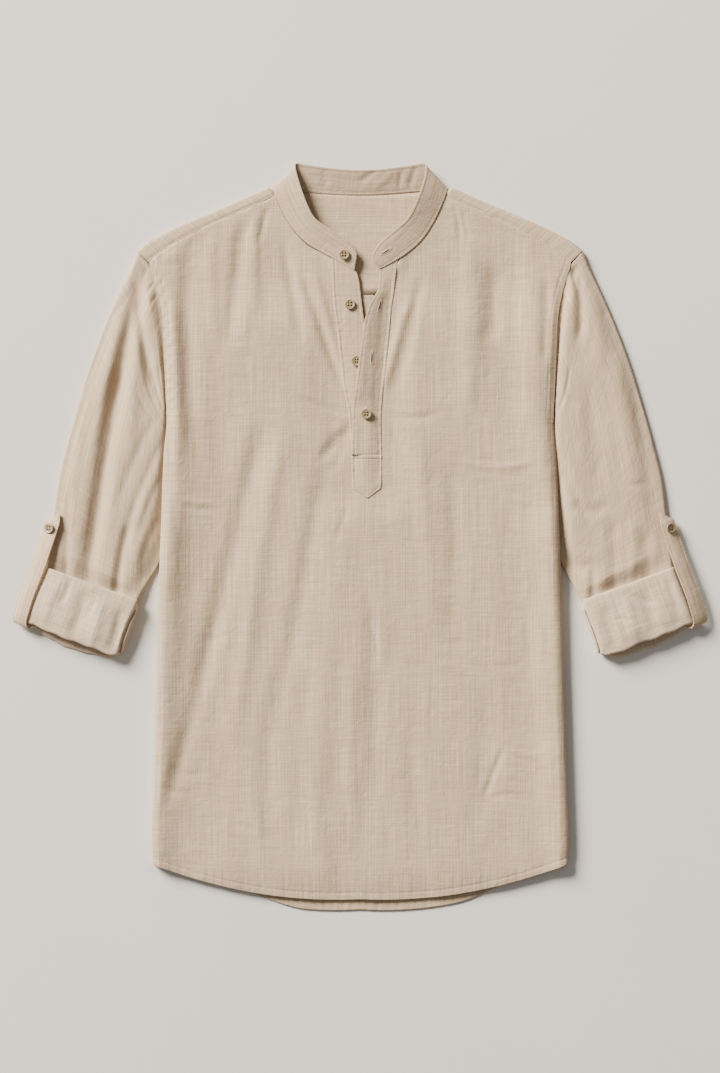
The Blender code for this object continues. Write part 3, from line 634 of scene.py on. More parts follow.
YOKE_GATHERS = (
    (-100, 362, -106, 345, -112, 318, 3.2, 0.8),
    (-112, 357, -118, 340, -122, 322, 3.0, -0.5),
    (102, 364, 108, 346, 110, 322, 3.2, 0.8),
    (112, 358, 116, 342, 120, 324, 3.0, 0.6),
)
PRESSED_CREASES = (
    (-200, 42, -178, 37, -158, 38, 3.2, -0.9),
    (-200, 34, -176, 30, -150, 30, 3.0, 0.7),
    (-134, 8, -118, 4, -108, 5, 3.0, 0.7),
    (-178, -108, -160, -112, -140, -104, 3.6, 0.8),
    (-206, -252, -190, -262, -172, -258, 4.5, 0.9),
    (-218, -272, -200, -281, -180, -278, 3.6, 0.8),
    (-180, -280, -166, -276, -150, -279, 3.0, 0.6),
    (-144, -320, -128, -318, -112, -325, 3.0, 0.9),
    (-202, -357, -184, -352, -164, -355, 3.4, 0.8),
    (-94, -292, -88, -287, -81, -286, 2.6, 0.8),
    (-116, -329, -104, -331, -94, -327, 2.6, 0.6),
    (164, 36, 188, 31, 212, 32, 2.2, 0.7),
    (110, 84, 150, 76, 196, 84, 5.0, -0.7),
    (100, -114, 116, -117, 136, -119, 3.0, 0.8),
    (106, -152, 118, -156, 130, -158, 2.8, 0.6),
    (88, -178, 100, -180, 116, -177, 3.0, 0.7),
    (146, -140, 164, -143, 180, -137, 3.0, 0.7),
    (158, -232, 146, -262, 136, -290, 3.5, 2.0),
    (138, -290, 164, -284, 184, -292, 3.0, 1.4),
    (158, -230, 184, -240, 204, -236, 3.5, -1.1),
    (10, -88, 16, -110, 20, -134, 2.4, 0.7),
    (34, -262, 46, -266, 60, -258, 3.0, 0.6),
    (-20, -196, -14, -212, -16, -232, 2.6, 0.5),
)
FRONT_FOLDS = LONG_BANDS + PULLED_RAYS + YOKE_GATHERS + PRESSED_CREASES
print("front folds:", len(FRONT_FOLDS))

# %% [markdown]
# ## The front: where its points lie
# A half of the front is a grid: rows go up the shirt and columns go out from the placket or the centre to
# the side. Rows beside the hem keep a fixed distance from it, so the hem's stitch line runs parallel.

# %% Front grid
HEM_STITCH = 7.6         # stitch line above the hem
ARMHOLE_STITCH = 8.6     # felled seam's stitch line, inside the armhole
HALF_WIDTH = 220.0       # about half the width of the body
SIDE_BAND = 34.0         # strip along the side with a finer grid
EDGE_PLACES = (0.07, 0.19, 0.37, 0.62, 0.95)
FRONT_LIFTS = np.array([0, 1.0, 3.0, 5.4, 6.6, HEM_STITCH, 8.6, 10.2])


def front_points(side, places, shares):
    """Grid of the front's half. side is -1 at the wearer's right; shares run from inner edge out."""
    own_edge = "right_x" if side < 0 else "left_x"
    inner = np.where(places <= SLOT_PLACE, FRONT.column("right_x", places), FRONT.column(own_edge, places))
    inner = inner[:, None]
    side_x, side_y, mid_y, edge, puff, field, mid, sag, arch = FRONT.columns(
        "side_x side_y mid_y edge puff field mid sag arch", places)
    share = shares[None, :]
    x = inner + (side * side_x - inner) * share
    y = mid_y + (side_y - mid_y) * share
    y = y + arch * ARCH_PEAK * share ** 2 * (1 - share) - sag * 4 * share * (1 - share)
    inward = (1 - share) * side_x
    beyond = inward / PUFF_REACH
    swell = np.where(beyond < 1, 1 - 0.4 * (1 - beyond) ** 2, beyond * np.exp(1 - beyond))
    z = mid + (field - mid) * ease(share / 0.35)
    z = z + (puff - field) * swell
    edge = edge - EDGE_CLOSES * (1 - ease((y - 120) / 12))
    edge = edge + (z - edge) * ease((y - 118) / 16)
    z = edge + (z - edge) * rim(inward, SIDE_ROUND)
    return x, y, z, inward


def along_hem(grids, lifts):
    """Put rows at fixed lifts above the hem in place of each grid's first row. The second grid is y."""
    rows = [[grid[:1] + lift * (k == 1) for lift in lifts] for k, grid in enumerate(grids)]
    return [np.concatenate(low + [grid[1:]]) for low, grid in zip(rows, grids)]


from_side = np.union1d(spaced(SIDE_BAND, 2.6, (ARMHOLE_STITCH,)), EDGE_PLACES)
FRONT_SHARES = np.concatenate([np.linspace(0, 1 - 36.0 / HALF_WIDTH, 62), 1 - from_side[::-1] / HALF_WIDTH])
rising = FRONT.places_for("side_y", np.arange(-344, 300.5, 3.0))
FRONT_PLACES = np.unique(np.concatenate([[0.0], rising[rising > 0.55], [float(SLOT_PLACE)],
                                         np.linspace(14.6, FRONT.last, 34)]))
print("front half grid:", len(FRONT_PLACES), "by", len(FRONT_SHARES))

# %% [markdown]
# ## The front: fullness and creases
# Air between the two layers lifts the front a few millimetres, more along the sides and nothing beside the
# placket. On top of that lie the listed folds, which calm down at the seams, and three sizes of small
# unevenness: broad waves, soft dents and fine crumples.

# %% Front fullness and folds
BODY_SWELL = 3.2         # air between the front and the back
SIDE_FULL = 4.2          # how much fuller the side folds stand below the sleeves
FOLD_GAIN = 1.7
CALM_SHARE = 0.45        # how much shallower the same folds are below the placket
SEAM_CALM = 9            # folds die away over this distance from the yoke seam


def front_relief(x, y, z, inward, beside_slot):
    """Heights of a half with its air, folds and crumples."""
    air = BODY_SWELL * (0.5 + 0.5 * ease(inward / 10)) * ease((y + 402) / 36) * (1 - beside_slot)
    air = air * (1 - (1 - ease(inward / SIDE_ROUND)) * (y < 124))
    air = air * (1 - 0.85 * ease((y - 225) / 60))
    full = SIDE_FULL * bell(inward - 6, 17) * ease(inward / SIDE_ROUND)
    z = z + air + full * ease((60 - y) / 60) * ease((y + 400) / 40)
    calm = (1 - CALM_SHARE * (1 - ease((y - 20) / 120))) * (0.1 + 0.9 * ease((y[-1:] - y) / SEAM_CALM))
    folds = FOLD_GAIN * calm * folds_at(x, y, FRONT_FOLDS)
    z = z + folds * ease(inward / 14) * ease((y + 400) / 12 + 0.35)
    z = z + 2.3 * calm * crumple(x, y, 46, 230, 2.0) * ease(inward / 20) * (1 - 0.7 * beside_slot)
    z = z + 0.55 * crumple(x, y, 22, 70, 3.0) * ease(inward / 10)
    return z + 0.16 * crumple(x, y, 9, 15, 8.0) * ease(inward / 8)


# %% [markdown]
# ## The front: what sewing does to it
# A stitch line pulls the cloth into a groove, and washing shrinks the thread more than the linen, so hems
# and felled seams pucker. The neck edge is drawn up to the collar, the slot's raw edge is pressed down
# under the strip, and a seam allowance goes on under the yoke.

# %% Front seams
GROOVE = 0.45            # how deep a stitch line pulls the cloth in
NECK_SEAM_HEIGHT = 5.25  # height at which the front meets the collar's seam
OVER_SIDE_RISE = 0.45    # the wearer's left laps over, so its neck edge stands higher
UNDER_STRIP = 0.7        # the slot's raw edge lies pressed down inside the upper strip
LOWEST = 1.75            # the front never sinks into the back


def front_seams(side, x, y, z, inward):
    """Heights of a half with its stitch grooves, puckers and sewn edges."""
    above_hem = y - y[:1]
    pucker = np.sin(x / 1.55 + 2.2 * crumple(x, y, 22, 80, 5.0)) * bell(above_hem - 7, 7.0)
    z = z + 0.22 * pucker - GROOVE * bell(above_hem - HEM_STITCH, 0.9)
    armhole = ease((y - 128) / 12)
    z = z - GROOVE * bell(inward - ARMHOLE_STITCH, 0.9) * armhole
    drag = np.sin((y - inward * 0.9) / 1.9 + 1.7 * crumple(x, y, 30, 22, 6.0))
    z = z + 0.4 * drag * bell(inward - 6, 8.0) * armhole * ease((302 - y) / 30)
    from_inner = np.abs(x - x[:, :1])
    neck_height = NECK_SEAM_HEIGHT + 0.5 * ease((y - 345) / 30) + OVER_SIDE_RISE * (side > 0)
    pressed = bell(from_inner, 2.4) * ease((y - 46) / 8) * ease((292 - y) / 8)
    z = z - UNDER_STRIP * (side > 0) * pressed
    z = z + (neck_height - z) * bell(from_inner, 9) * ease((y - 286) / 12)
    return np.maximum(z, LOWEST)


def front_half(side):
    """Grid of one half, with a last row tucked under the yoke."""
    x, y, z, inward = along_hem(front_points(side, FRONT_PLACES, FRONT_SHARES), FRONT_LIFTS)
    beside_slot = ease((62 - np.abs(x - 4)) / 34) * ease((y - 12) / 45)
    z = front_relief(x, y, z, inward, beside_slot)
    points = np.stack([x, y, front_seams(side, x, y, z, inward)], axis=2)
    last_inward = inward[-1:]
    tucked = np.stack([side * 0.95 * ease(last_inward / 8 - 0.3), 0 * last_inward + 1.76,
                       0 * last_inward - 1.1], axis=2)
    return np.concatenate([points, points[-1:] + tucked])


# %% Build the front
front_right, front_left = front_half(-1), front_half(1)
build_panel("front_cloth", [(half, flat_grain(half)) for half in (front_right, front_left)], "front")

# %% [markdown]
# ## The back: its cut
# The back lies flat under the front and reaches about a centimetre lower at the hem. Under the yoke it is
# folded into a box pleat, three layers deep, which opens out further down. Through the placket opening
# only the pleat's meeting line shows, but it is made whole, because the meshes are a result too.

# %% Back pattern
BACK_MID = 0.6
HEM_HIDE = 9.0           # how much the back's hem runs up under the front's beside the middle
HEM_SHOWN = {-1: 58.0, 1: 105.0}   # where it begins to do so, further out at the wearer's left
EDGE_LIFT_FLAT = 6.0     # width at the side where the lift is whole
EDGE_LIFT_REACH = 12.0   # width over which it then dies away
BACK = Pattern("side_x side_y mid_y edge sag open flat", (
    (228.5, -359, -411.0, 1.2, 17.0, 1, 1),
    (229.3, -333, -352, 1.5, 6.0, 1, 1),
    (227.3, -270, -280, 1.6, 2.0, 1, 1),
    (223.9, -165, -165, 1.6, 0, 1, 1),
    (221.6, -75, -75, 1.8, 0, 1, 1),
    (220.3, -32, -32, 4.6, 0, 1, 1),
    (218.3, 15, 15, 4.6, 0, 1, 1),
    (216.2, 72, 72, 4.6, 0, 1, 1),
    (213.6, 112, 112, 4.6, 0, 1, 1),
    (212.3, 128, 128, 4.6, 0, 1, 1),
    (213.2, 150, 150, 0.6, 0, 1, 1),
    (214.4, 178, 178, 0.6, 0, 1, 0.6),
    (215.8, 210, 210, 0.6, 0, 1, 0),
    (217.4, 240, 240, 0.6, 0, 0.5, 0),
    (221.6, 266.7, 266.7, 0.6, 0, 0, 0),
))
PLEAT = (
    # x when shut, when its folds are steep and when flat, then its layer
    (0.0, 0.0, 0.0, 0.0), (6.0, 3.0, 3.0, 0.0), (11.2, 6.0, 6.0, 0.0), (11.8, 6.7, 7.3, 0.2),
    (12.0, 7.2, 8.5, 0.5), (11.8, 7.8, 9.8, 0.8), (11.2, 8.4, 11.0, 1.0), (6.0, 8.9, 12.2, 1.0),
    (1.3, 9.4, 13.5, 1.0), (0.7, 10.0, 14.8, 1.2), (0.5, 10.6, 16.0, 1.5), (0.7, 11.2, 17.2, 1.8),
    (1.3, 11.8, 18.5, 2.0), (7.0, 13.0, 19.5, 2.0), (13.0, 14.4, 20.5, 2.0), (18.0, 18.6, 23.0, 1.0),
    (25.0, 25.0, 25.5, 0.0),
)
BACK_FOLDS = ((-120, 200, -130, 0, -150, -250, 20, -0.35), (110, 180, 120, -40, 90, -300, 22, -0.3),
              (60, -120, 40, -240, 60, -380, 16, -0.35), (-60, -60, -80, -220, -60, -380, 18, -0.3))
print("back rows:", BACK.last + 1, "pleat columns:", len(PLEAT))

# %% [markdown]
# ## The back: its grid
# The pleat's columns slide between three states, shut under the yoke, steep, and flat at the hem, so one
# table of columns gives the whole pleat. The sides rise to meet the front's side folds.

# %% Back grid
BACK_LIFTS = (0, 1.5, 4.0, 6.5, 7.6, 8.8, 11.0)


def back_column_at(y, name):
    """A column of the back's table at a height along the side."""
    return np.interp(y, BACK.dense["side_y"], BACK.dense[name])


def back_half(side):
    places = np.unique(np.concatenate([[0.0], BACK.places_for("side_y", np.arange(-336, 266.7, 5.0)),
                                       [BACK.last]]))
    side_x, side_y, mid_y, sag, opened, flat = BACK.columns("side_x side_y mid_y sag open flat", places)
    shut_x, steep_x, flat_x, layer = (np.array(c)[None, :] for c in zip(*PLEAT))
    pleat_x = shut_x + (steep_x - shut_x) * opened
    pleat_x = pleat_x + (flat_x - pleat_x) * flat
    pleat_z = BACK_MID + layer * (1 - flat)
    from_side = spaced(26, 3.0, (6.5,))
    shares = np.concatenate([np.linspace(0.135, 0.86, 34), 1 - from_side[::-1] / HALF_WIDTH])
    x = np.concatenate([pleat_x, side_x * shares], axis=1)
    z = np.concatenate([pleat_z, BACK_MID + 0 * side_x * shares], axis=1)
    share = x / side_x
    y = mid_y + (side_y - mid_y) * share - sag * 4 * share * (1 - share)
    hidden = ease((np.abs(x) - HEM_SHOWN[side]) / 72) * ease((y[:1] + 60 - y) / 60) * ease((222 - x) / 30)
    x, y, z = along_hem((x, y + HEM_HIDE * hidden, z), BACK_LIFTS)
    lift = 1 - ease((back_column_at(y, "side_x") - x - EDGE_LIFT_FLAT) / EDGE_LIFT_REACH)
    z = z + (back_column_at(y, "edge") - BACK_MID) * lift
    z = z - folds_at(side * x, y, BACK_FOLDS) * 0.5 * (1 - lift) * ease((np.abs(x) - 26) / 10)
    z = z + 0.25 * (1 + np.sin(x / 1.7)) * bell(y - y[:1] - 6, 6)
    return np.stack([side * x, y, np.maximum(z, 0.45)], axis=2)


# %% Build the back
back_right, back_left = back_half(-1), back_half(1)
build_panel("back_cloth", [(half, grain_of(half)) for half in (back_right, back_left)], "back")

# %% [markdown]
# ## The yoke over the shoulders
# The yoke is one piece across the upper back. It folds over both shoulders and ends 15 mm down the front,
# where it is topstitched over the front's gathers. Each column runs from the back seam, over the shoulder
# fold, to the front seam.

# %% Yoke pattern
YOKE_SEAM_Y = 267.0
SEAM_GAP = 0.3
YOKE_TOP = 5.6
YOKE_SIDE_BOW = 6.0
YOKE = Pattern("line_x line_y back_x share", (
    (244.6, 313.6, 221.6, 1.0),
    (236.0, 321.5, 212.0, 0.93),
    (218.0, 332.0, 192.0, 0.80),
    (190.0, 345.5, 170.0, 0.62),
    (160.0, 358.2, 144.0, 0.42),
    (130.0, 370.6, 118.0, 0.21),
    (100.5, 384.2, 96.0, 0.0),
))


def shoulder_points(side, places):
    """Columns of the yoke over one shoulder: back layer, fold and front strip."""
    line = YOKE.line("line_x line_y", places)
    back = np.stack([YOKE.column("back_x", places), 0 * places + YOKE_SEAM_Y + SEAM_GAP], axis=1)
    x, y = (grid[0] for grid in front_points(side, np.array([float(FRONT.last)]),
                                             YOKE.column("share", places))[:2])
    front = np.stack([side * x + 0.15, y + SEAM_GAP], axis=1)
    radius = (YOKE_TOP - BACK_MID) / 2
    inward = front - line
    inward /= np.linalg.norm(inward, axis=1, keepdims=True)
    start = line + inward * radius
    rows = []
    for t in np.linspace(0, 1, 16):
        flat = back + (start - back) * t
        bow = YOKE_SIDE_BOW * 4 * t * (1 - t) * ease(1 - places / 3)
        rows.append(np.column_stack([flat[:, 0] - bow, flat[:, 1], 0 * bow + BACK_MID]))
    for degrees in (-60, -30, 0, 30, 60, 90):
        angle = math.radians(degrees)
        height = BACK_MID + radius + radius * math.sin(angle)
        rows.append(np.column_stack([start - inward * radius * math.cos(angle), 0 * places + height]))
    for t in (0.2, 0.4, 0.58, 0.72, 0.8, 0.88, 0.94, 1.0):
        ripple = 0.18 * np.sin(places * 19 + 3 * np.sin(places * 5)) * (0.4 + t)
        height = YOKE_TOP + 0.45 * math.sin(t * 3) - 0.3 * math.exp(-((t - 0.8) / 0.06) ** 2) + ripple
        rows.append(np.column_stack([start + (front - start) * t, height]))
    points = np.stack(rows, axis=0)
    points[:, :, 0] *= side
    return points


YOKE_SIDES = [shoulder_points(side, np.linspace(0, YOKE.last, 66)) for side in (-1, 1)]
print("yoke shoulder grid:", YOKE_SIDES[0].shape[:2])

# %% [markdown]
# ## The yoke behind the neck
# Between the shoulders the columns stop at the back of the neck. The cloth swells a little there, because
# nothing presses on it, and its lower edge rides over the ends of the box pleat.

# %% Yoke behind the neck
NECK_ROWS = 16
NECK_COLUMNS = 40
NECK_BACK_RISE = 3.0
SEAM_OVERLAP = 1.6       # the yoke's edge covers the ends of the pleat
PLEAT_RISE = 2.2


def neck_points():
    right, left = (shoulder[:NECK_ROWS, -1] for shoulder in YOKE_SIDES)
    drop = (left[:, 1] - YOKE_SEAM_Y) / (left[-1, 1] - YOKE_SEAM_Y)
    columns = []
    for share in np.linspace(-1, 1, NECK_COLUMNS):
        between = right + (left - right) * (share + 1) / 2
        between[:, 1] -= NECK_BACK_RISE * (1 - share * share) * drop
        between[:, 1] = np.maximum(between[:, 1], YOKE_SEAM_Y + SEAM_GAP)
        columns.append(between)
    points = np.stack(columns, axis=1)
    across, along = np.linspace(0, 1, NECK_COLUMNS)[None, :], np.linspace(0, 1, NECK_ROWS)[:, None]
    over_pleat = np.exp(-(points[:, :, 0] / 28) ** 4) * bell(points[:, :, 1] - YOKE_SEAM_Y, 16)
    points[:, :, 2] += PLEAT_RISE * over_pleat
    points[0, :, 1] -= SEAM_OVERLAP * over_pleat[0]
    uneven = 0.5 + 0.5 * crumple(points[:, :, 0], points[:, :, 1], 40, 24, 2.0)
    points[:, :, 2] += 0.6 * ease(4 * along - 3) * np.sin(math.pi * across) ** 0.5
    away_from_sides = ease(across / 0.2) * ease((1 - across) / 0.2)
    points[:, :, 2] += 0.8 * uneven * away_from_sides * np.sin(math.pi * along)
    return points


yoke_neck = neck_points()
build_panel("yoke_cloth", [(shoulder, grain_of(shoulder)) for shoulder in YOKE_SIDES]
            + [(yoke_neck, flat_grain(yoke_neck)[:, :, ::-1])], "yoke")

# %% [markdown]
# ## One stitch
# Topstitching is a row of short thread bumps whose ends dip into the cloth. A curve object could be bent
# along each seam, but single stitches made of six-sided rings stay light and can be joined into one mesh.

# %% Stitch mesh
THREAD_RADIUS = 0.26
STITCH_PROFILE = ((-0.5, 0.25), (-0.36, 0.8), (0.0, 1.0), (0.36, 0.8), (0.5, 0.25))
STITCH_SIDES = 6
thread_verts, thread_faces = [], []


def add_thread(start, end, up, radius=THREAD_RADIUS, dip=0.22):
    """One stitch between two points in mm. up is the cloth's normal there."""
    start, end, up = (np.asarray(v, float) for v in (start, end, up))
    run = end - start
    across = np.cross(up, run)
    across /= max(np.linalg.norm(across), 1e-9)
    first = len(thread_verts)
    for share, size in STITCH_PROFILE:
        middle = start + run * (share + 0.5) - up * dip * (2 * share) ** 2
        for k in range(STITCH_SIDES):
            angle = 2 * math.pi * k / STITCH_SIDES
            ring = across * math.cos(angle) + up * math.sin(angle)
            thread_verts.append(middle + ring * radius * size)
    last = first + (len(STITCH_PROFILE) - 1) * STITCH_SIDES
    for low in range(first, last, STITCH_SIDES):
        for k in range(STITCH_SIDES):
            after = (k + 1) % STITCH_SIDES
            thread_faces.append((low + k, low + after, low + STITCH_SIDES + after, low + STITCH_SIDES + k))
    thread_faces.append(tuple(first + k for k in reversed(range(STITCH_SIDES))))
    thread_faces.append(tuple(last + k for k in range(STITCH_SIDES)))


# %% [markdown]
# ## Rows of stitches
# A shirt is topstitched at about nine stitches to the inch, so one comes every 2.9 mm. Each row follows a
# line that already lies on a piece, so it sinks and rises with the folds. A line is given by its grid and
# by shares of the rows and columns, from 0 to 1.

# %% Stitch rows
STITCH_PITCH = 2.9
STITCH_LONG = 2.25


def surface_normals(points):
    """Unit normals of a grid of points, turned to face up on average."""
    normals = np.cross(np.gradient(points, axis=1), np.gradient(points, axis=0))
    normals /= np.maximum(np.linalg.norm(normals, axis=2, keepdims=True), 1e-9)
    return normals if normals[:, :, 2].mean() > 0 else -normals


def sew(line, normals, wall=LINEN_WALL):
    """Row of stitches along a line of points on the middle of the cloth."""
    travelled = np.concatenate([[0], np.cumsum(np.linalg.norm(np.diff(line, axis=0), axis=1))])
    count = int(travelled[-1] / STITCH_PITCH)
    for middle in (np.arange(count) + 0.5) * travelled[-1] / max(count, 1):
        ends = [np.array([np.interp(middle + half, travelled, line[:, k]) for k in range(3)])
                for half in (-STITCH_LONG / 2, STITCH_LONG / 2)]
        up = np.array([np.interp(middle, travelled, normals[:, k]) for k in range(3)])
        up /= max(np.linalg.norm(up), 1e-9)
        lift = up * (wall / 2 + THREAD_RADIUS * 0.35)
        add_thread(ends[0] + lift, ends[1] + lift, up)


def inset_line(points, share_u, share_v):
    """Points of a grid at shares of its rows and columns, in between its own points."""
    rows, columns = points.shape[:2]
    u = np.asarray(share_u, float) * (rows - 1)
    v = np.asarray(share_v, float) * (columns - 1)
    i, j = np.minimum(u.astype(int), rows - 2), np.minimum(v.astype(int), columns - 2)
    a, b = (u - i)[:, None], (v - j)[:, None]
    return (points[i, j] * (1 - a) * (1 - b) + points[i + 1, j] * a * (1 - b)
            + points[i, j + 1] * (1 - a) * b + points[i + 1, j + 1] * a * b)


def sew_inset(points, share_u, share_v, below=False, wall=LINEN_WALL):
    """Row of stitches on a grid along shares of its rows and columns. below: on the underside."""
    share_u, share_v = np.broadcast_arrays(np.atleast_1d(share_u), np.atleast_1d(share_v))
    normals = surface_normals(points) * (-1 if below else 1)
    sew(inset_line(points, share_u, share_v), inset_line(normals, share_u, share_v), wall)


# %% [markdown]
# ## Stitches of the body
# The front has a row along its hem and one up each armhole. The back's hem and the yoke's back seam show
# on both faces, so they are stitched twice, and the yoke also has rows along its front and shoulder ends.

# %% Stitches of the front, back and yoke
FRONT_HEM_ROW = int(np.argmin(np.abs(FRONT_LIFTS - HEM_STITCH)))
BACK_HEM_ROW = BACK_LIFTS.index(HEM_STITCH)
arm_column = int(np.argmin(np.abs((1 - FRONT_SHARES) * HALF_WIDTH - ARMHOLE_STITCH)))
arm_start = int(np.argmax(front_right[:, -1, 1] > 132))
for half in (front_right, front_left):
    normals = surface_normals(half)
    sew(half[FRONT_HEM_ROW], normals[FRONT_HEM_ROW])
    sew(half[arm_start:, arm_column], normals[arm_start:, arm_column])
for half in (back_right, back_left):
    for way in (1, -1):
        sew(half[BACK_HEM_ROW], way * surface_normals(half)[BACK_HEM_ROW])
along = np.linspace(0, 1, 60)
for grid in (*YOKE_SIDES, yoke_neck):
    for below in (False, True):
        sew_inset(grid, 0.8 / (grid.shape[0] - 1), along, below)
for grid in YOKE_SIDES:
    sew_inset(grid, 1 - 1.8 / (grid.shape[0] - 1), along)
    sew_inset(grid, np.linspace(0.55, 0.99, 60), 0.04)
print("body stitch faces:", len(thread_faces))

# %% [markdown]
# ## Sleeves: their cut
# Each sleeve is a tube laid flat: an upper layer and a lower layer between two soft fold edges. Both are
# the same cut and are mirrored. The table goes from the armhole to the roll, and the armhole's own curve
# is added to its first rows.

# %% Sleeve pattern
SLEEVE = Pattern("outer_x outer_y inner_x inner_y thick outer_thick inner_thick reach raise_z", (
    (245.2, 313.0, 212.9, 127.6, 6.0, 6.8, 2.4, 1.0, 0),
    (252.0, 296.0, 211.6, 108.0, 6.0, 5.9, 2.4, 0.6, 0),
    (262.0, 275.0, 212.6, 84.0, 6.0, 4.7, 2.4, 0.3, 0),
    (278.8, 237.0, 213.4, 58.0, 6.2, 4.6, 2.4, 0.15, 0),
    (295.0, 194.5, 214.4, 33.0, 6.2, 4.6, 2.4, 0, 0),
    (309.0, 150.0, 215.2, 10.0, 6.2, 4.6, 2.4, 0, 0),
    (321.5, 106.0, 216.4, -12.0, 6.2, 4.8, 2.5, 0, 0),
    (332.5, 60.0, 221.5, -31.0, 6.2, 5.2, 2.6, 0, 0),
    (337.5, 20.0, 230.0, -46.0, 7.2, 6.4, 4.0, 0, 0),
    (342.0, -12.0, 239.0, -62.0, 10.0, 7.5, 6.5, 0, 0.6),
    (344.4, -34.4, 243.6, -71.0, 11.8, 8.0, 7.0, 0, 1.5),
    (346.4, -42.0, 246.8, -78.0, 12.2, 9.0, 8.0, 0, 1.5),
))
# How far the armhole curve stands toward the body from a straight line, from underarm to shoulder tip.
ARMHOLE = (0, 2.4, 4.9, 7.5, 10.0, 12.4, 14.1, 14.6, 13.7, 11.0, 0)
FOLD_REACH = 17.0        # how far inside its fold edges a sleeve comes to its whole height
SEAM_TUCK = 3.0          # seam allowance that lies under the body's edge
SLEEVE_SWELL = 3.4       # how much fuller the cloth lies than its plain solid
ROLL_STEP = 6.2          # how much lower the sleeve lies than the roll
LAYER_INSET = 0.45       # from a solid's face to the middle of the cloth
print("sleeve rows:", SLEEVE.last + 1)

# %% [markdown]
# ## Sleeves: their folds
# An empty sleeve caves in along a valley from the armhole to the roll, and fans of small puckers stand at
# the armhole seam. The two sleeves fell differently, so each has folds of its own.

# %% Sleeve folds
RIGHT_SLEEVE_FOLDS = (
    (-236, 300, -255, 222, -270, 138, 11, 5.0),
    (-262, 190, -281, 76, -303, -72, 12, 5.8),
    (-258, 250, -278, 170, -294, 90, 8, -0.7),
    (-240, 270, -238, 215, -221, 146, 7, 3.6),
    (-244, 232, -248, 150, -256, 70, 10, -1.2),
    (-300, 150, -316, 60, -325, -20, 8, -0.9),
    (-252, 16, -262, -24, -270, -84, 7, 2.8),
    (-318, 60, -322, 0, -322, -60, 5.5, 1.4),
    (-236, 60, -244, -10, -250, -60, 9, -1.2),
    (-214, 134, -224, 166, -230, 196, 2.6, 1.0),
    (-216, 128, -230, 156, -238, 184, 2.6, 0.9),
    (-214, 142, -218, 164, -222, 192, 2.2, 0.8),
    (-216, 118, -236, 140, -248, 168, 3.0, 0.7),
    (-214, 112, -236, 62, -262, -6, 6.0, 1.0),
    (-216, 70, -234, 30, -250, -20, 5.0, 0.7),
    (-222, 134, -246, 88, -272, 20, 6.0, 0.6),
    (-218, 24, -230, 0, -242, -34, 5.2, 0.7),
    (-256, 268, -262, 254, -272, 244, 4, 0.7),
    (-231, 299, -235, 292, -239, 282, 2.2, 1.0),
    (-224, 282, -229, 275, -235, 266, 2.2, 1.2),
    (-221, 269, -226, 262, -232, 253, 2.2, 1.2),
    (-290, 190, -300, 178, -306, 160, 4, 0.8),
    (-244, 200, -256, 196, -270, 200, 4, 0.5),
)
LEFT_SLEEVE_FOLDS = (
    (232, 306, 242, 262, 240, 206, 7, 3.0),
    (256, 280, 262, 230, 262, 180, 9, -1.0),
    (224, 290, 216, 200, 213, 108, 8, 3.2),
    (250, 180, 256, 110, 262, 40, 12, 1.5),
    (276, 200, 292, 110, 302, 30, 12, -1.1),
    (300, 170, 314, 80, 322, 0, 9, 1.0),
    (222, 90, 222, 20, 232, -46, 9, 1.8),
    (214, -2, 234, -30, 262, -28, 10, 1.8),
    (230, 40, 250, 28, 274, 36, 9, 1.0),
    (216, 100, 232, 54, 256, 10, 6.0, 0.8),
    (277, 24, 279, -22, 279, -84, 9, 1.5),
    (255, -34, 256, -58, 254, -92, 6, 2.0),
    (313, 10, 316, -26, 318, -78, 8, 1.2),
    (298, 20, 300, -10, 298, -56, 7, -1.2),
    (216, 160, 228, 150, 246, 146, 5, 0.6),
    (216, 134, 226, 160, 230, 190, 2.8, 0.9),
    (264, 250, 276, 240, 284, 222, 5, 0.6),
    (230, 296, 234, 286, 238, 270, 3.0, 1.6),
    (288, 60, 300, 56, 316, 60, 5, 0.6),
)
print("sleeve folds:", len(RIGHT_SLEEVE_FOLDS), len(LEFT_SLEEVE_FOLDS))

# %% [markdown]
# ## Flat tubes
# Sleeves and rolled cuffs are both tubes pressed flat, so they share their section: points once round,
# closer together at the two folded edges, and a height that swells from the round edges to the middle.

# %% Flat tube helpers
def tube_ring(near, upper_middle, lower_middle):
    """Shares of the width once round a flat tube, and 1, 0 or -1 for upper layer, fold or lower layer."""
    near = np.array(near)
    upper = np.concatenate([near, upper_middle, 1 - near[::-1]])
    lower = np.concatenate([1 - near[1:], lower_middle, near[:0:-1]])
    layers = np.concatenate([[0], np.ones(len(upper) - 2), [0], -np.ones(len(lower))])
    return np.concatenate([upper, lower])[None, :], layers[None, :]


def tube_section(share, width, thick, inner_thick, outer_thick):
    """Half the tube's height across its width, and how far its round edges have risen there."""
    whole = thick - (thick - inner_thick) * bell(share * width, FOLD_REACH)
    whole = whole - (thick - outer_thick) * bell((1 - share) * width, FOLD_REACH)
    radius = np.where(share < 0.5, inner_thick, outer_thick) / 2
    return whole / 2, rim(np.minimum(share, 1 - share) * width, radius)


def across_tube(inner, outer, share, width, inset):
    """x and y across a tube between two lines of points, a little inside them."""
    squeezed = 0.5 + (share - 0.5) * (width - 2 * inset) / width
    return (inner[:, k:k + 1] + (outer[:, k:k + 1] - inner[:, k:k + 1]) * squeezed for k in (0, 1))


def closed(points):
    """Grid whose last column is its first one again."""
    return np.concatenate([points, points[:, :1]], axis=1)


# %% [markdown]
# ## Sleeves: the cloth
# The rows are rings from armhole to roll. The upper layer takes the folds, and it never sinks into the
# lower one. A first ring is tucked under the body's edge as seam allowance, so no gap can show there.

# %% Sleeve grid
SLEEVE_NEAR = (0, 0.002, 0.006, 0.012, 0.02, 0.032, 0.046)


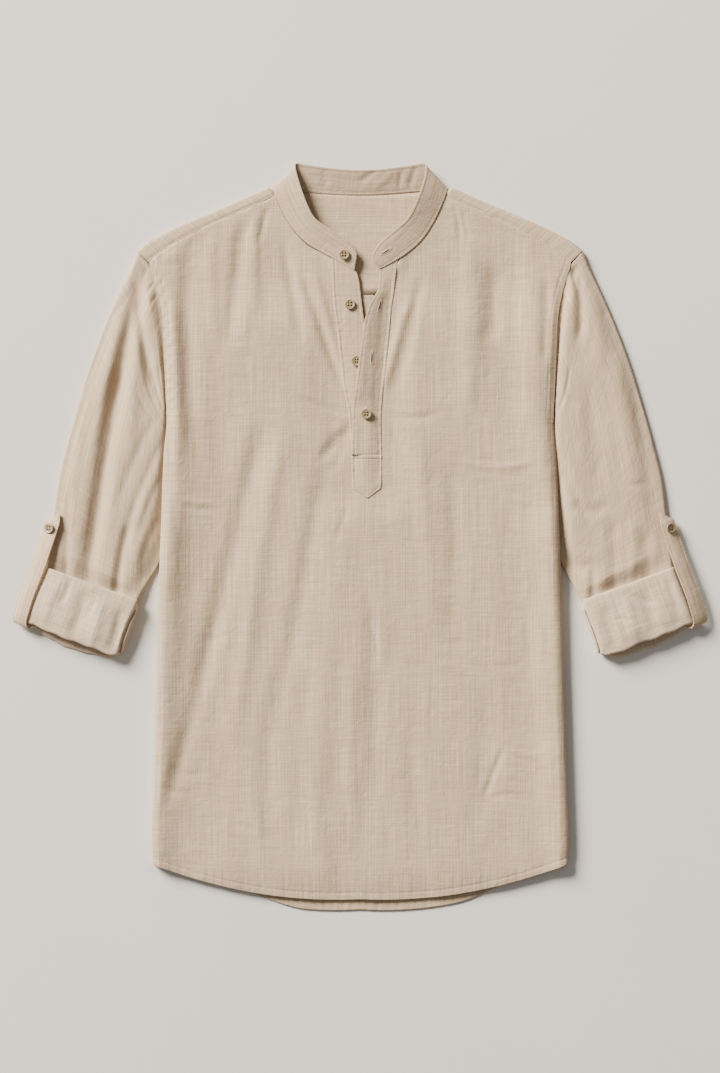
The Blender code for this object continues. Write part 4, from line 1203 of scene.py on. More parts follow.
def sleeve_grid(side, folds):
    """Rings of the sleeve from armhole to roll: the upper layer out, then the lower layer back."""
    places = np.concatenate([np.linspace(0, 1, 36)[:-1], np.linspace(1, SLEEVE.last, 142)])
    inner, outer = SLEEVE.line("inner_x inner_y", places), SLEEVE.line("outer_x outer_y", places)
    thick, inner_thick, outer_thick, raised, reach = SLEEVE.columns(
        "thick inner_thick outer_thick raise_z reach", places)
    share, layers = tube_ring(SLEEVE_NEAR, np.linspace(0.06, 0.94, 74), np.linspace(0.94, 0.06, 28))
    width = np.linalg.norm(outer - inner, axis=1)[:, None]
    row = places[:, None]
    thick = thick + (SLEEVE_SWELL * (1 - ease((row - 7.5) / 2.0)) * ease(row / 0.8)
                     - ROLL_STEP * ease((row - 8.8) / 1.1))
    half, round_off = tube_section(share, width, thick, inner_thick, outer_thick)
    z = raised + half + layers * (half * round_off - LAYER_INSET * np.minimum(1, round_off * 3))
    x, y = across_tube(inner, outer, share, width, LAYER_INSET)
    curve = smooth_column(ARMHOLE)
    x = x - reach * np.interp(share, np.linspace(0, 1, len(curve)), curve)
    from_fold = np.minimum(share, 1 - share) * width
    dent = folds_at(side * x, y, folds) * ease(from_fold / 9) * (0.35 + 0.65 * ease(row / 0.35))
    dent = dent + 0.55 * crumple(side * x, y, 30, 55, 12.0 + side) * ease(from_fold / 8)
    dent = dent + 0.18 * crumple(side * x, y, 9, 13, 20.0 + side) * ease(from_fold / 6)
    lowest = 1.6 + 0.4 * ease(row - 8)
    z = np.where(layers > 0, np.maximum(z + dent, lowest), z)
    points = np.stack([side * x, y, z], axis=2)
    tucked = points[:1] - np.array([side * SEAM_TUCK, 0.0, 0.0])
    tucked[:, :, 2] = np.clip(tucked[:, :, 2], 1.5, 4.1)
    return closed(np.concatenate([tucked, points]))


# %% Build the sleeves
for word, folds in (("right", RIGHT_SLEEVE_FOLDS), ("left", LEFT_SLEEVE_FOLDS)):
    points = sleeve_grid(SIDES[word], folds)
    build_panel("sleeve_cloth_" + word, [(points, grain_of(points))], "sleeve_" + word)

# %% [markdown]
# ## Turned-up cuffs: their cut
# The sleeve ends in a roll: the cloth is turned outward and up, so the cuff is one folded sheet that
# shows its wrong side. Its linen is a copy a little paler than the body's. The path below starts at the
# upper edge, goes down to the lip, turns round it and comes back up inside.

# %% Cuff pattern
CUFF = Pattern("outer_x outer_y inner_x inner_y thick", (
    (345.0, -33.5, 240.5, -71.5, 15.4),
    (357.0, -63.0, 252.0, -103.0, 16.0),
    (368.5, -93.5, 263.5, -134.5, 15.6),
))
CUFF_WALL = 0.9
CUFF_DEPTH = 67.0
CUFF_DOWN = (0.350, -0.937)          # the roll's own directions: down the sleeve and out along the lip
CUFF_OUT = (0.936, 0.351)
LIP_DROP = 0.135         # how much further the lower layer reaches, as a share of the depth
SIDE_GAP = 7.5           # depth of the gap between the two layers along the inner side
# depth as a share from upper edge to lip, then distance inside the outer face
CUFF_PATH = [(0.022, 2.2), (0.006, 1.9), (0.0, 1.4), (0.002, 0.8)]
CUFF_PATH += [(t, 0.45) for t in np.linspace(0.012, 0.955, 34)]
CUFF_PATH += [(0.975, 0.55), (0.99, 0.9), (0.996, 1.35), (0.99, 1.8), (0.975, 2.1)]
CUFF_PATH += [(t, 2.2) for t in np.linspace(0.95, 0.2, 24)]
RIGHT_CUFF_FOLDS = (
    (-262, -78, -266, -100, -274, -128, 7, 1.6), (-300, -58, -306, -84, -318, -112, 9, 1.7),
    (-332, -46, -340, -72, -350, -100, 8, -1.2), (-282, -66, -288, -94, -296, -122, 9, -1.3),
    (-318, -48, -322, -62, -330, -76, 4, 1.0), (-288, -70, -294, -78, -300, -90, 3, 0.8))
LEFT_CUFF_FOLDS = (
    (268, -74, 274, -98, 282, -126, 8, 1.6), (312, -56, 318, -84, 326, -110, 9, 1.7),
    (290, -64, 296, -90, 304, -118, 8, -1.4), (338, -44, 344, -70, 352, -98, 7, 1.1),
    (300, -62, 310, -70, 326, -72, 4, 1.0), (276, -92, 288, -90, 300, -94, 3, 0.8))
# The rolls use a copy of the linen a little paler than the body's.
LINEN_PALER_COPY = woven_linen("woven_linen_paler_copy", mid="#C6AE90", pale="#D5C0A3", dark="#B79E83")
print("cuff path steps:", len(CUFF_PATH))

# %% [markdown]
# ## Turned-up cuffs: the cloth
# The roll is pressed down at a slant, so its lower layer reaches further than its upper one. Its lip is
# wavy, its lower corner lifts, and along the inner side a gap opens between the two layers.

# %% Cuff grid
CUFF_NEAR = (0, 0.0007, 0.002, 0.005, 0.009, 0.013, 0.017, 0.021, 0.025, 0.029, 0.034, 0.04, 0.047, 0.056,
             0.068, 0.08)


def cuff_section(share, layers, depth, inset, width, thick):
    """Heights of the roll, with the gap between its layers along the inner side."""
    half, round_off = tube_section(share, width, thick, thick - 2, thick - 1)
    gap_place = 1.4 + 2.6 * np.sin(math.pi * np.clip((depth - 0.06) / 0.94, 0, 1)) ** 0.8
    gap = bell(share * width - gap_place, 0.35 + 0.2 * gap_place) * ease((depth - 0.1) / 0.2)
    return half + layers * (half * round_off - inset) - SIDE_GAP * gap * (layers > 0) * (inset < 1.2)


def cuff_grid(side, folds):
    share, layers = tube_ring(CUFF_NEAR, np.linspace(0.09, 0.91, 44), np.linspace(0.9, 0.1, 24))
    depth, inset = (np.array(column)[:, None] for column in zip(*CUFF_PATH))
    places = depth[:, 0] * CUFF.last
    inner, outer = CUFF.line("inner_x inner_y", places), CUFF.line("outer_x outer_y", places)
    width = np.linalg.norm(outer - inner, axis=1)[:, None]
    z = cuff_section(share, layers, depth, inset, width, CUFF.column("thick", places)[:, None])
    x, y = across_tube(inner, outer, share, width, inset)
    corner = ease((0.16 - depth) / 0.16) * 5.0 * bell(share, 0.02)
    x, y = x + corner * CUFF_OUT[0], y + corner * CUFF_OUT[1]
    lift = 6.0 * bell(share * width, 5.5) * ease((depth - 0.86) / 0.14)
    drop = LIP_DROP * (1 - (2 * share - 1) ** 2) * depth ** 2 * (layers < 0) * CUFF_DEPTH
    x, y = x + (drop - lift) * CUFF_DOWN[0], y + (drop - lift) * CUFF_DOWN[1]
    from_fold = np.minimum(share, 1 - share)
    ripple = 0.9 * crumple(side * x + 40, y, 24, 40, 31.0) + 0.2 * crumple(x, y, 8, 10, 33.0)
    wave = 2.4 * crumple(share * 6 + 5 * side + 0 * depth, depth + 0 * share, 1.0, 1.0, 35.0)
    wave = wave * ease((depth - 0.6) / 0.4) * ease(from_fold * 8)
    x, y = x + CUFF_DOWN[0] * wave, y + CUFF_DOWN[1] * wave
    dent = (folds_at(side * x, y, folds) + ripple) * ease(from_fold * width / 10)
    sag = 1.6 * ease((depth - 0.72) / 0.28) + 0.3 * (1 - ease(depth / 0.1))
    return closed(np.stack([side * x, y, z + (dent - sag) * (layers > 0)], axis=2))


# %% Build the cuffs
for word, folds in (("right", RIGHT_CUFF_FOLDS), ("left", LEFT_CUFF_FOLDS)):
    points = cuff_grid(SIDES[word], folds)
    build_panel("cuff_cloth_" + word, [(points, grain_of(points))], "cuff_" + word, CUFF_WALL, LINEN_PALER_COPY)

# %% [markdown]
# ## Band collar: its cut
# The collar is a narrow stand of two layers with a stiff interlining, so it keeps its curve and its edges
# are thicker and smoother than the body's. It is a ribbon from the wearer's right front end, round the
# neck, to the left front end, and it leans inward as it rises.

# %% Collar pattern
COLLAR = Pattern("seam_x seam_y seam_z top_x top_y top_z", (
    (-6.0, 291.8, 7.5, -3.4, 308.0, 8.2),
    (-10.0, 294.6, 7.5, -4.8, 314.5, 8.4),
    (-19.0, 300.0, 7.5, -10.0, 319.5, 8.8),
    (-33.0, 307.5, 7.4, -18.0, 327.0, 9.6),
    (-46.0, 314.5, 7.4, -28.0, 334.0, 10.4),
    (-58.3, 321.8, 7.4, -38.0, 341.0, 11.2),
    (-70.0, 333.5, 7.4, -47.5, 347.0, 12.0),
    (-79.2, 346.0, 7.4, -53.0, 354.0, 12.7),
    (-86.5, 360.0, 7.6, -58.5, 366.0, 13.3),
    (-92.4, 373.5, 7.8, -65.0, 383.5, 13.8),
    (-96.0, 381.0, 6.6, -69.8, 400.0, 13.4),
    (-97.4, 384.6, 4.7, -72.8, 411.4, 10.0),
    (-94.0, 384.0, 2.9, -71.0, 411.0, 8.4),
    (-84.0, 381.0, 2.2, -64.5, 409.4, 7.6),
    (-62.0, 379.2, 2.1, -48.0, 406.8, 7.4),
    (-32.0, 376.6, 2.1, -24.0, 403.8, 7.4),
    (0.0, 375.4, 2.1, 0.0, 402.6, 7.4),
    (32.0, 376.6, 2.1, 24.0, 403.8, 7.4),
    (62.0, 379.2, 2.1, 48.0, 406.8, 7.4),
    (84.0, 381.0, 2.2, 64.5, 409.4, 7.6),
    (94.0, 384.0, 2.9, 71.0, 411.0, 8.4),
    (97.4, 384.6, 4.7, 72.8, 411.4, 10.0),
    (96.5, 381.0, 6.6, 72.4, 401.5, 13.4),
    (94.2, 374.0, 7.8, 68.0, 384.0, 13.8),
    (89.0, 361.0, 7.6, 61.0, 366.0, 13.3),
    (83.0, 348.5, 7.4, 55.5, 354.5, 12.7),
    (74.5, 334.0, 7.4, 49.5, 346.0, 12.0),
    (65.0, 321.8, 7.4, 42.0, 340.0, 11.2),
    (54.0, 312.8, 7.4, 33.5, 333.0, 10.4),
    (46.0, 307.0, 7.4, 24.5, 325.5, 9.6),
    (37.0, 301.5, 7.5, 17.5, 317.8, 8.8),
    (29.0, 297.2, 7.5, 13.8, 310.0, 8.4),
    (21.0, 294.2, 7.5, 14.6, 301.5, 8.2),
))
COLLAR_FOLDS = (
    (22, 406, 10, 397, -2, 389, 4.4, 1.3), (36, 401, 27, 392, 14, 385, 4.0, -0.8),
    (47, 404, 44, 393, 43, 382, 3.6, 1.2), (62, 407, 58, 396, 54, 383, 3.4, 1.3),
    (-44, 403, -38, 393, -40, 383, 4.8, 0.8), (-24, 396, -12, 391, 2, 392, 3.0, 0.6))
STAND_WALL = 1.3
SEAM_DROP = 1.1          # how much closer to the cloth the seam lies than in the plain solid
COLLAR_STEPS = 300
COLLAR_SHARES = np.array([0, 0.03, 0.07, 0.11, 0.17, 0.25, 0.35, 0.45, 0.55, 0.65, 0.75, 0.83, 0.89, 0.93,
                          0.97, 1.0])
STAND_STITCHES = (0.11, 0.89)        # shares of the height where the two stitch lines run
print("collar rows:", COLLAR.last + 1)

# %% [markdown]
# ## Band collar: the cloth
# The ribbon is first drawn straight from the table, with a slight belly and soft waves. Its rows are then
# spaced evenly and smoothed, as the interlining would do, and last come the dents at the back of the neck.

# %% Collar grid
SMOOTHINGS = 30
SHARP_END = 12           # rows at each end over which the smoothing fades out


def evened(points):
    """Space a ribbon's rows evenly and smooth them along it, except at its two ends."""
    walked = np.cumsum(np.linalg.norm(np.diff(points[:, points.shape[1] // 2], axis=0), axis=1))
    walked = np.concatenate([[0], walked])
    even = np.linspace(0, walked[-1], len(points))
    flat = points.reshape(len(points), -1)
    points = np.stack([np.interp(even, walked, column) for column in flat.T], axis=1).reshape(points.shape)
    rows = np.arange(len(points))
    soft = ease(np.minimum(rows, rows[::-1]) / SHARP_END)[:, None, None]
    for _ in range(SMOOTHINGS):
        blurred = points.copy()
        blurred[1:-1] = (points[:-2] + 2 * points[1:-1] + points[2:]) / 4
        points = points + (blurred - points) * soft
    return points


def collar_grid():
    places = np.linspace(0, COLLAR.last, COLLAR_STEPS)
    seam = COLLAR.line("seam_x seam_y seam_z", places)[:, None]
    top = COLLAR.line("top_x top_y top_z", places)[:, None]
    points = seam + (top - seam) * COLLAR_SHARES[None, :, None]
    share = COLLAR_SHARES[None, :]
    belly = 4 * share * (1 - share)
    wave = crumple(places[:, None] * 9.0 + 0 * share, points[:, :, 1] * 0.4, 26, 26, 41.0)
    points[:, :, 2] += 0.35 * belly + 0.75 * wave * belly
    for stitch_share in STAND_STITCHES:
        points[:, :, 2] -= 0.22 * bell(share - stitch_share, 0.03)
    points[:, :, 2] -= SEAM_DROP * (1 - share) * (0.8 + 0.2 * ease((points[:, :, 2] - 3.0) / 3.0))
    points = evened(points)
    points[:, :, 2] += folds_at(points[:, :, 0], points[:, :, 1], COLLAR_FOLDS) * np.sqrt(belly)
    return points


# %% Build the collar
STAND_ENDS = (0.006, 0.994)
collar_points = collar_grid()
build_panel("collar_cloth", [(collar_points, grain_of(collar_points))], "collar", STAND_WALL)
for below in (False, True):
    for share in STAND_STITCHES:
        sew_inset(collar_points, np.linspace(*STAND_ENDS, 500), share, below, STAND_WALL)
    for end in STAND_ENDS:
        sew_inset(collar_points, end, np.linspace(*STAND_STITCHES, 16), below, STAND_WALL)

# %% [markdown]
# ## Plackets: their cut
# The half placket is two straight strips, each folded double. The upper one is sewn over the slot with a
# box of stitches at its pointed end, and its free edge stands up where the shirt gapes.

# %% Placket pattern
PLACKET_UNDER = Pattern("y left_x right_x left_z right_z", (
    (60.0, -9.0, 15.0, 5.6, 5.6),
    (95.0, -9.5, 15.5, 5.7, 5.7),
    (135.0, -12.5, 15.0, 5.7, 5.7),
    (165.0, -18.0, 12.6, 5.7, 5.7),
    (196.0, -21.5, 9.0, 5.7, 5.7),
    (223.0, -24.5, 6.0, 5.7, 5.8),
    (256.0, -28.8, 2.0, 5.8, 5.9),
    (280.0, -30.8, -1.5, 5.8, 5.9),
    (291.0, -31.8, -6.0, 5.8, 5.9),
))
PLACKET_OVER = Pattern("y left_x right_x left_z right_z", (
    (42.4, 7.2, 9.2, 7.2, 7.2),
    (49.0, -1.5, 17.5, 7.2, 7.2),
    (55.0, -8.4, 23.8, 7.2, 7.2),
    (90.0, -9.2, 24.2, 7.2, 7.2),
    (122.0, -9.0, 23.4, 7.2, 7.2),
    (142.0, -7.8, 24.0, 7.3, 7.2),
    (162.0, -5.2, 25.8, 10.2, 7.2),
    (186.0, -2.2, 28.4, 11.0, 7.2),
    (207.0, 0.6, 30.6, 11.2, 7.0),
    (233.0, 4.2, 33.2, 11.0, 6.6),
    (256.0, 11.0, 35.4, 10.0, 6.2),
    (272.0, 20.0, 38.0, 7.6, 6.0),
    (291.0, 21.5, 42.0, 6.1, 6.0),
))
UNDER_FALL = 1.0         # share of the width over which a strip goes from one height to the other
OVER_FALL = 0.8
STRIP_WALL = 1.2
BOX_TOP, BOX_LOW = 90.0, 85.3    # the two stitch lines across the strip over its end box
UNDER_START = 62.0       # height where the lower strip begins
BOX_HEIGHT = 0.45        # share of the strip's height that its end box keeps
EDGE_OVER_FRONT = 0.25   # how far a sewn edge's middle lies over the front's
END_PRESSED = 1.1        # the lower strip's end is pressed flat inside the box
EDGE_STEP = 0.45         # rise just inside the sewn edge
COLLAR_SEAM_Z = 5.9      # height at which both strips go under the collar
print("placket length mm:", PLACKET_OVER.dense["y"][-1] - PLACKET_OVER.dense["y"][0])

# %% [markdown]
# ## Plackets: the cloth
# A sewn edge has to lie just on the front, wherever its folds are, so the strip asks the front's grid for
# its height. From there it steps up by its own thickness and rises to its free edge. Stitch lines and a
# fine pucker along them come last.

# %% Placket grid
STRIP_NEAR = np.array([0, 0.008, 0.02, 0.035, 0.05, 0.065, 0.08, 0.095, 0.115, 0.14, 0.18])


def height_under(points, x, y):
    """Height of a grid where it is nearest to each x, y."""
    flat = points.reshape(-1, 3)
    finder = KDTree(len(flat))
    for k, (a, b, _) in enumerate(flat):
        finder.insert((a, b, 0.0), k)
    finder.balance()
    nearest = [[k for _, k, _ in finder.find_n((a, b, 0.0), 5)] for a, b in zip(x.ravel(), y.ravel())]
    return flat[np.array(nearest), 2].mean(axis=1).reshape(x.shape)


def strip_grid(pattern, fall_share, seed, sewn_right, sink, slant, front):
    """Grid of one strip. slant: how far its two top corners run up under the collar."""
    first, last = pattern.dense["y"][0], pattern.dense["y"][-1]
    y = first + spaced(last - first, 1.6, (BOX_TOP - first, BOX_LOW - first), (0.35, 0.7, 1.1, 1.6))
    left, right, left_z, right_z = pattern.columns("left_x right_x left_z right_z",
                                                   pattern.places_for("y", y))
    share = np.concatenate([STRIP_NEAR, np.linspace(0.24, 0.76, 9), 1 - STRIP_NEAR[::-1]])[None, :]
    x = left + (right - left) * share
    y = y[:, None] + 0 * x
    z = left_z + (right_z - left_z) * ease(share / fall_share) - sink
    low = height_under(front, x, y) + EDGE_OVER_FRONT
    if not sewn_right:
        low = low - END_PRESSED * (1 - ease((y - 88) / 14))
    inside = np.minimum(share, 1 - share) * (right - left)
    from_sewn = (1 - share if sewn_right else share) * (right - left)
    from_sewn = np.where(y < BOX_TOP, inside, from_sewn)
    z = low + (z - low) * (BOX_HEIGHT + (1 - BOX_HEIGHT) * ease((y - UNDER_START) / 40))
    sewn_down = low + EDGE_STEP * ease(from_sewn / 0.7)
    z = sewn_down + (z - sewn_down) * ease((from_sewn - 1) / 14)
    z = z - 0.36 * bell(y - BOX_TOP, 0.6) - 0.36 * bell(y - BOX_LOW, 0.6)
    z = z + 0.3 * bell(y - (BOX_TOP + BOX_LOW) / 2, 1.4)
    top = ease((y - 262) / 29)
    y = y + top * (slant[0] + (slant[1] - slant[0]) * share)
    z = z + top * (COLLAR_SEAM_Z - z) - 0.2 * bell(inside, 0.8) - 0.25 * bell(inside - 3.2, 0.7)
    z = z + 0.14 * np.sin(y / 1.5 + 2 * crumple(x, y, 12, 30, seed)) * bell(inside - 2.5, 2.5)
    z = z + 0.3 * crumple(x, y, 14, 30, seed + 5) * ease(inside / 4)
    return np.stack([x, y, z], axis=2)


# %% Build the plackets
over = strip_grid(PLACKET_OVER, OVER_FALL, 51.0, True, 0.6, (5.0, 14.5), front_left)
under = strip_grid(PLACKET_UNDER, UNDER_FALL, 57.0, False, 0.45, (19.0, 4.0), front_right)
for word, points in (("over", over), ("under", under)):
    build_panel("placket_" + word + "_cloth", [(points, flat_grain(points))], "placket_" + word, STRIP_WALL)

# %% [markdown]
# ## Stitches of the plackets
# The upper strip is edge-stitched up both sides and round its point, with two rows across it that close
# the box. The lower strip has one row along its sewn edge.

# %% Placket stitches
EDGE_IN = 0.105          # share of the strip's width from its edge to the stitch line
POINT_START = 55.0       # height where the strip narrows to its point


def share_at(points, y):
    """Share of a strip's rows at the one nearest to a height in mm."""
    return int(np.argmin(np.abs(points[:, 5, 1] - y))) / (points.shape[0] - 1)


tip, end = share_at(over, POINT_START), 2.5 / (over.shape[0] - 1)
sew_inset(over, np.linspace(tip, 1, 150), 1 - EDGE_IN, wall=STRIP_WALL)
sew_inset(over, np.linspace(tip, share_at(over, BOX_TOP), 30), EDGE_IN, wall=STRIP_WALL)
for height in (BOX_TOP, BOX_LOW):
    sew_inset(over, share_at(over, height), np.linspace(EDGE_IN, 1 - EDGE_IN, 20), wall=STRIP_WALL)
sew_inset(over, tip, np.linspace(EDGE_IN, 0.5, 20), wall=STRIP_WALL)
for edge in (EDGE_IN, 1 - EDGE_IN):
    sew_inset(over, np.linspace(tip, end, 20), np.linspace(edge, 0.5, 20), wall=STRIP_WALL)
sew_inset(under, np.linspace(0.1, 1, 150), EDGE_IN, wall=STRIP_WALL)
print("stitch faces so far:", len(thread_faces))

# %% [markdown]
# ## Roll tabs: their route
# A tab runs from inside each sleeve, round the outer edge of the roll, and buttons over it to hold the
# sleeve up. It is a double strip with a pointed end. Its route is told in the roll's own directions, out
# along the lip, down the sleeve and up from the table, so one table serves both sides.

# %% Tab pattern
TAB = Pattern("out down up tilt width", (
    (120.5, -58.0, 9.6, 22, 3.0),
    (120.5, -53.0, 9.2, 23, 9.5),
    (121.0, -46.0, 8.8, 25, 18.2),
    (120.0, -20.0, 9.8, 25, 18.6),
    (119.0, 8.0, 11.8, 25, 18.6),
    (119.5, 34.0, 11.8, 25, 18.6),
    (118.5, 54.0, 11.2, 24, 18.4),
    (118.0, 62.5, 10.4, 22, 18.2),
    (116.0, 68.6, 9.0, 19, 18.0),
    (113.0, 70.6, 7.4, 16, 18.0),
    (109.0, 68.4, 6.2, 12, 18.0),
    (105.0, 62.0, 5.8, 9, 18.0),
    (102.0, 52.0, 5.6, 6, 18.0),
    (101.0, 34.0, 5.6, 5, 18.0),
))
CUFF_CORNER = (240.5, -71.0)
TAB_CROWN = 1.2          # how much the middle of a tab stands above its edges
TAB_FULL_WIDTH = 17.5
TAB_TIP_WIDTH = 18.2
TAB_TIP_LEAN = 3.5       # how far the point stands toward the sleeve
TAB_POINT = (-58, -47)   # where down the sleeve the point begins and is as wide as the strip
TAB_WALL = 1.5
TAB_STITCHES = (0.11, 0.89)
TAB_SHARES = np.array([0, 0.03, 0.07, 0.11, 0.17, 0.28, 0.4])


def tab_place(side, out, down, up):
    """Point in mm from the cuff's own frame: out along its width and down the sleeve."""
    x, y = (CUFF_CORNER[k] + out * CUFF_OUT[k] + down * CUFF_DOWN[k] for k in (0, 1))
    return np.stack([side * x, y, up], axis=-1)


# %% [markdown]
# ## Roll tabs: the cloth
# The strip is leaned over as it goes round the roll, and its middle is crowned because two turned edges
# lie inside it. Two rows of stitches run along it and meet at the point.

# %% Tab grid
def tab_grid(side):
    places = np.concatenate([np.linspace(0, 2, 14)[:-1], np.linspace(2, TAB.last, 120)])
    out, down, up, tilt, width = TAB.columns("out down up tilt width", places)
    width = np.where(down < -46, np.interp(down, TAB_POINT, (1.5, TAB_TIP_WIDTH)), width)
    out = out - TAB_TIP_LEAN * (1 - width / TAB_TIP_WIDTH) * (down < -46)
    lean = np.radians(tilt)
    share = np.concatenate([TAB_SHARES, [0.5], 1 - TAB_SHARES[::-1]])[None, :] - 0.5
    reach = share * width
    crown = TAB_CROWN * (1 - (2 * share) ** 2) * np.minimum(width / TAB_FULL_WIDTH, 1)
    crown = crown + 0.25 * crumple(reach, down + 0 * reach, 9, 20, 61.0 + side)
    crown = crown - 0.2 * bell(np.abs(share) - 0.39, 0.03)
    return tab_place(side, out + reach * np.cos(lean) + crown * np.sin(lean), down + 0 * reach,
                     up - reach * np.sin(lean) + crown * np.cos(lean))


# %% Build the tabs
for word, side in SIDES.items():
    points = tab_grid(side)
    build_panel("tab_cloth_" + word, [(points, grain_of(points))], "tab_" + word, TAB_WALL)
    for share in TAB_STITCHES:
        sew_inset(points, np.linspace(0.10, 0.62, 60), share, wall=TAB_WALL)
        sew_inset(points, np.linspace(0.10, 0.015, 12), np.linspace(share, 0.5, 12), wall=TAB_WALL)

# %% [markdown]
# ## Buttonholes
# A buttonhole is a slit between two rows of close satin stitches, with a bar at each end. Each one lies
# on its strip, so its height and lean are read from the strip's own grid, and the satin is made of the
# same single stitches as the seams, set close together.

# %% Buttonhole function
HOLE_LONG = 12.5
HOLE_HALF_WIDTH = 1.6
SATIN_PITCH = 0.5
SATIN_RADIUS = 0.3
SLIT_OUTLINE = ((-0.42, 0.08), (-0.2, 0.55), (0.2, 0.55), (0.42, 0.08))
slit_shadow_verts, slit_shadow_faces = [], []


def surface_at(points, x, y):
    """Place and upward normal of a grid where it is nearest to x, y."""
    flat = points.reshape(-1, 3)
    order = np.argsort(np.hypot(flat[:, 0] - x, flat[:, 1] - y))[:4]
    normal = surface_normals(points).reshape(-1, 3)[order].mean(axis=0)
    normal /= np.linalg.norm(normal)
    return np.array([x, y, flat[order, 2].mean()]), normal * (1 if normal[2] > 0 else -1)


def add_buttonhole(points, x, y, degrees, wall, length=HOLE_LONG):
    """Worked buttonhole on a strip, turned by degrees from straight up the shirt."""
    middle, up = surface_at(points, x, y)
    angle = math.radians(degrees)
    along = np.array([-math.sin(angle), math.cos(angle), 0.0])
    along -= up * along.dot(up)
    along /= np.linalg.norm(along)
    side = np.cross(along, up)
    middle = middle + up * (wall / 2 + 0.1)
    for t in np.arange(-length / 2, length / 2 + 0.01, SATIN_PITCH):
        for way in (-1, 1):
            spot = middle + along * t
            add_thread(spot + side * way * 0.3, spot + side * way * HOLE_HALF_WIDTH, up, SATIN_RADIUS, 0.12)
    for way in (-1, 1):
        for extra in (0.0, 0.4, 0.8):
            spot = middle + along * way * (length / 2 + extra)
            add_thread(spot - side * HOLE_HALF_WIDTH, spot + side * HOLE_HALF_WIDTH, up, SATIN_RADIUS, 0.1)
    # The open slit is painted shadow: a dark sheet just over the strip.
    first = len(slit_shadow_verts)
    for t, half in SLIT_OUTLINE:
        spot = middle + up * 0.26 + along * t * length
        slit_shadow_verts.extend([spot - side * half, spot + side * half])
    slit_shadow_faces.extend((low, low + 1, low + 3, low + 2) for low in range(first, len(slit_shadow_verts) - 2, 2))


add_buttonhole(over, 21.5, 253.5, -18, STRIP_WALL)
add_buttonhole(over, 12.9, 196.0, -3, STRIP_WALL)
add_buttonhole(over, 7.4, 134.8, 0, STRIP_WALL, 13.0)
add_buttonhole(collar_points, 28.6, 313.0, -57, STAND_WALL, 13.0)
print("slits:", len(slit_shadow_verts) // (2 * len(SLIT_OUTLINE)))

# %% [markdown]
# ## Buttons: one turned disc
# The buttons are 11.5 mm shirt buttons turned from resin rod: a domed back, a raised rim and a dished
# face with four holes. The profile is turned round by hand into rings, the holes are cut with a Boolean,
# and one mesh serves all six.

# %% Button mesh
BUTTON_SIDES = 56
BUTTON_HOLE_RADIUS = 1.0
BUTTON_HOLE_OFFSET = 1.5
CUTTER_DEPTH = 8
BUTTON_PROFILE = ((0.0, 0.0), (2.4, 0.02), (3.8, 0.12), (4.9, 0.55), (5.5, 1.15), (5.75, 1.75), (5.66, 2.1),
                  (5.4, 2.35), (5.05, 2.46), (4.7, 2.44), (4.35, 2.34), (4.0, 2.18), (3.5, 2.08),
                  (2.6, 2.02), (0.0, 2.0))


def turned_disc():
    """Mesh of the button's profile turned round its axis."""
    bm = bmesh.new()
    angles = [2 * math.pi * k / BUTTON_SIDES for k in range(BUTTON_SIDES)]
    rings = [[bm.verts.new((radius * MM * math.cos(a), radius * MM * math.sin(a), height * MM))
              for a in (angles if radius else angles[:1])] for radius, height in BUTTON_PROFILE]
    for lower, upper in zip(rings, rings[1:]):
        for k in range(BUTTON_SIDES):
            corners = [lower[k % len(lower)], lower[(k + 1) % BUTTON_SIDES % len(lower)],
                       upper[(k + 1) % BUTTON_SIDES % len(upper)], upper[k % len(upper)]]
            bm.faces.new(list(dict.fromkeys(corners)))
    disc = bpy.data.meshes.new("button_disc")
    bm.to_mesh(disc)
    bm.free()
    return disc


def hole_cutters():
    """Mesh of four rods where the thread holes go."""
    bm = bmesh.new()
    for across in (-1, 1):
        for along in (-1, 1):
            made = bmesh.ops.create_cone(bm, cap_ends=True, segments=20, depth=CUTTER_DEPTH * MM,
                                         radius1=BUTTON_HOLE_RADIUS * MM, radius2=BUTTON_HOLE_RADIUS * MM)
            bmesh.ops.translate(bm, verts=made["verts"],
                                vec=Vector((across, along, 0)) * BUTTON_HOLE_OFFSET * MM)
    rods = bpy.data.meshes.new("button_hole_cutter")
    bm.to_mesh(rods)
    bm.free()
    return rods


def button_mesh():
    blank, cutter = placed("button_blank", turned_disc()), placed("button_hole_cutter", hole_cutters())
    cut = blank.modifiers.new("holes", "BOOLEAN")
    cut.operation, cut.solver, cut.object = "DIFFERENCE", "EXACT", cutter
    mesh = bpy.data.meshes.new_from_object(blank.evaluated_get(bpy.context.evaluated_depsgraph_get()))
    for thing in (blank, cutter):
        bpy.data.objects.remove(thing, do_unlink=True)
    mesh.materials.clear()
    mesh.materials.append(HORN)
    mesh.shade_smooth()
    mesh.set_sharp_from_angle(angle=math.radians(50))
    return mesh


button_disc = button_mesh()
print("button faces:", len(button_disc.polygons))

# %% [markdown]
# ## Buttons: in their places
# Four buttons close the collar and the placket, and one holds each tab. A tab's button leans with its tab,
# so its place is read from the tab's own table.

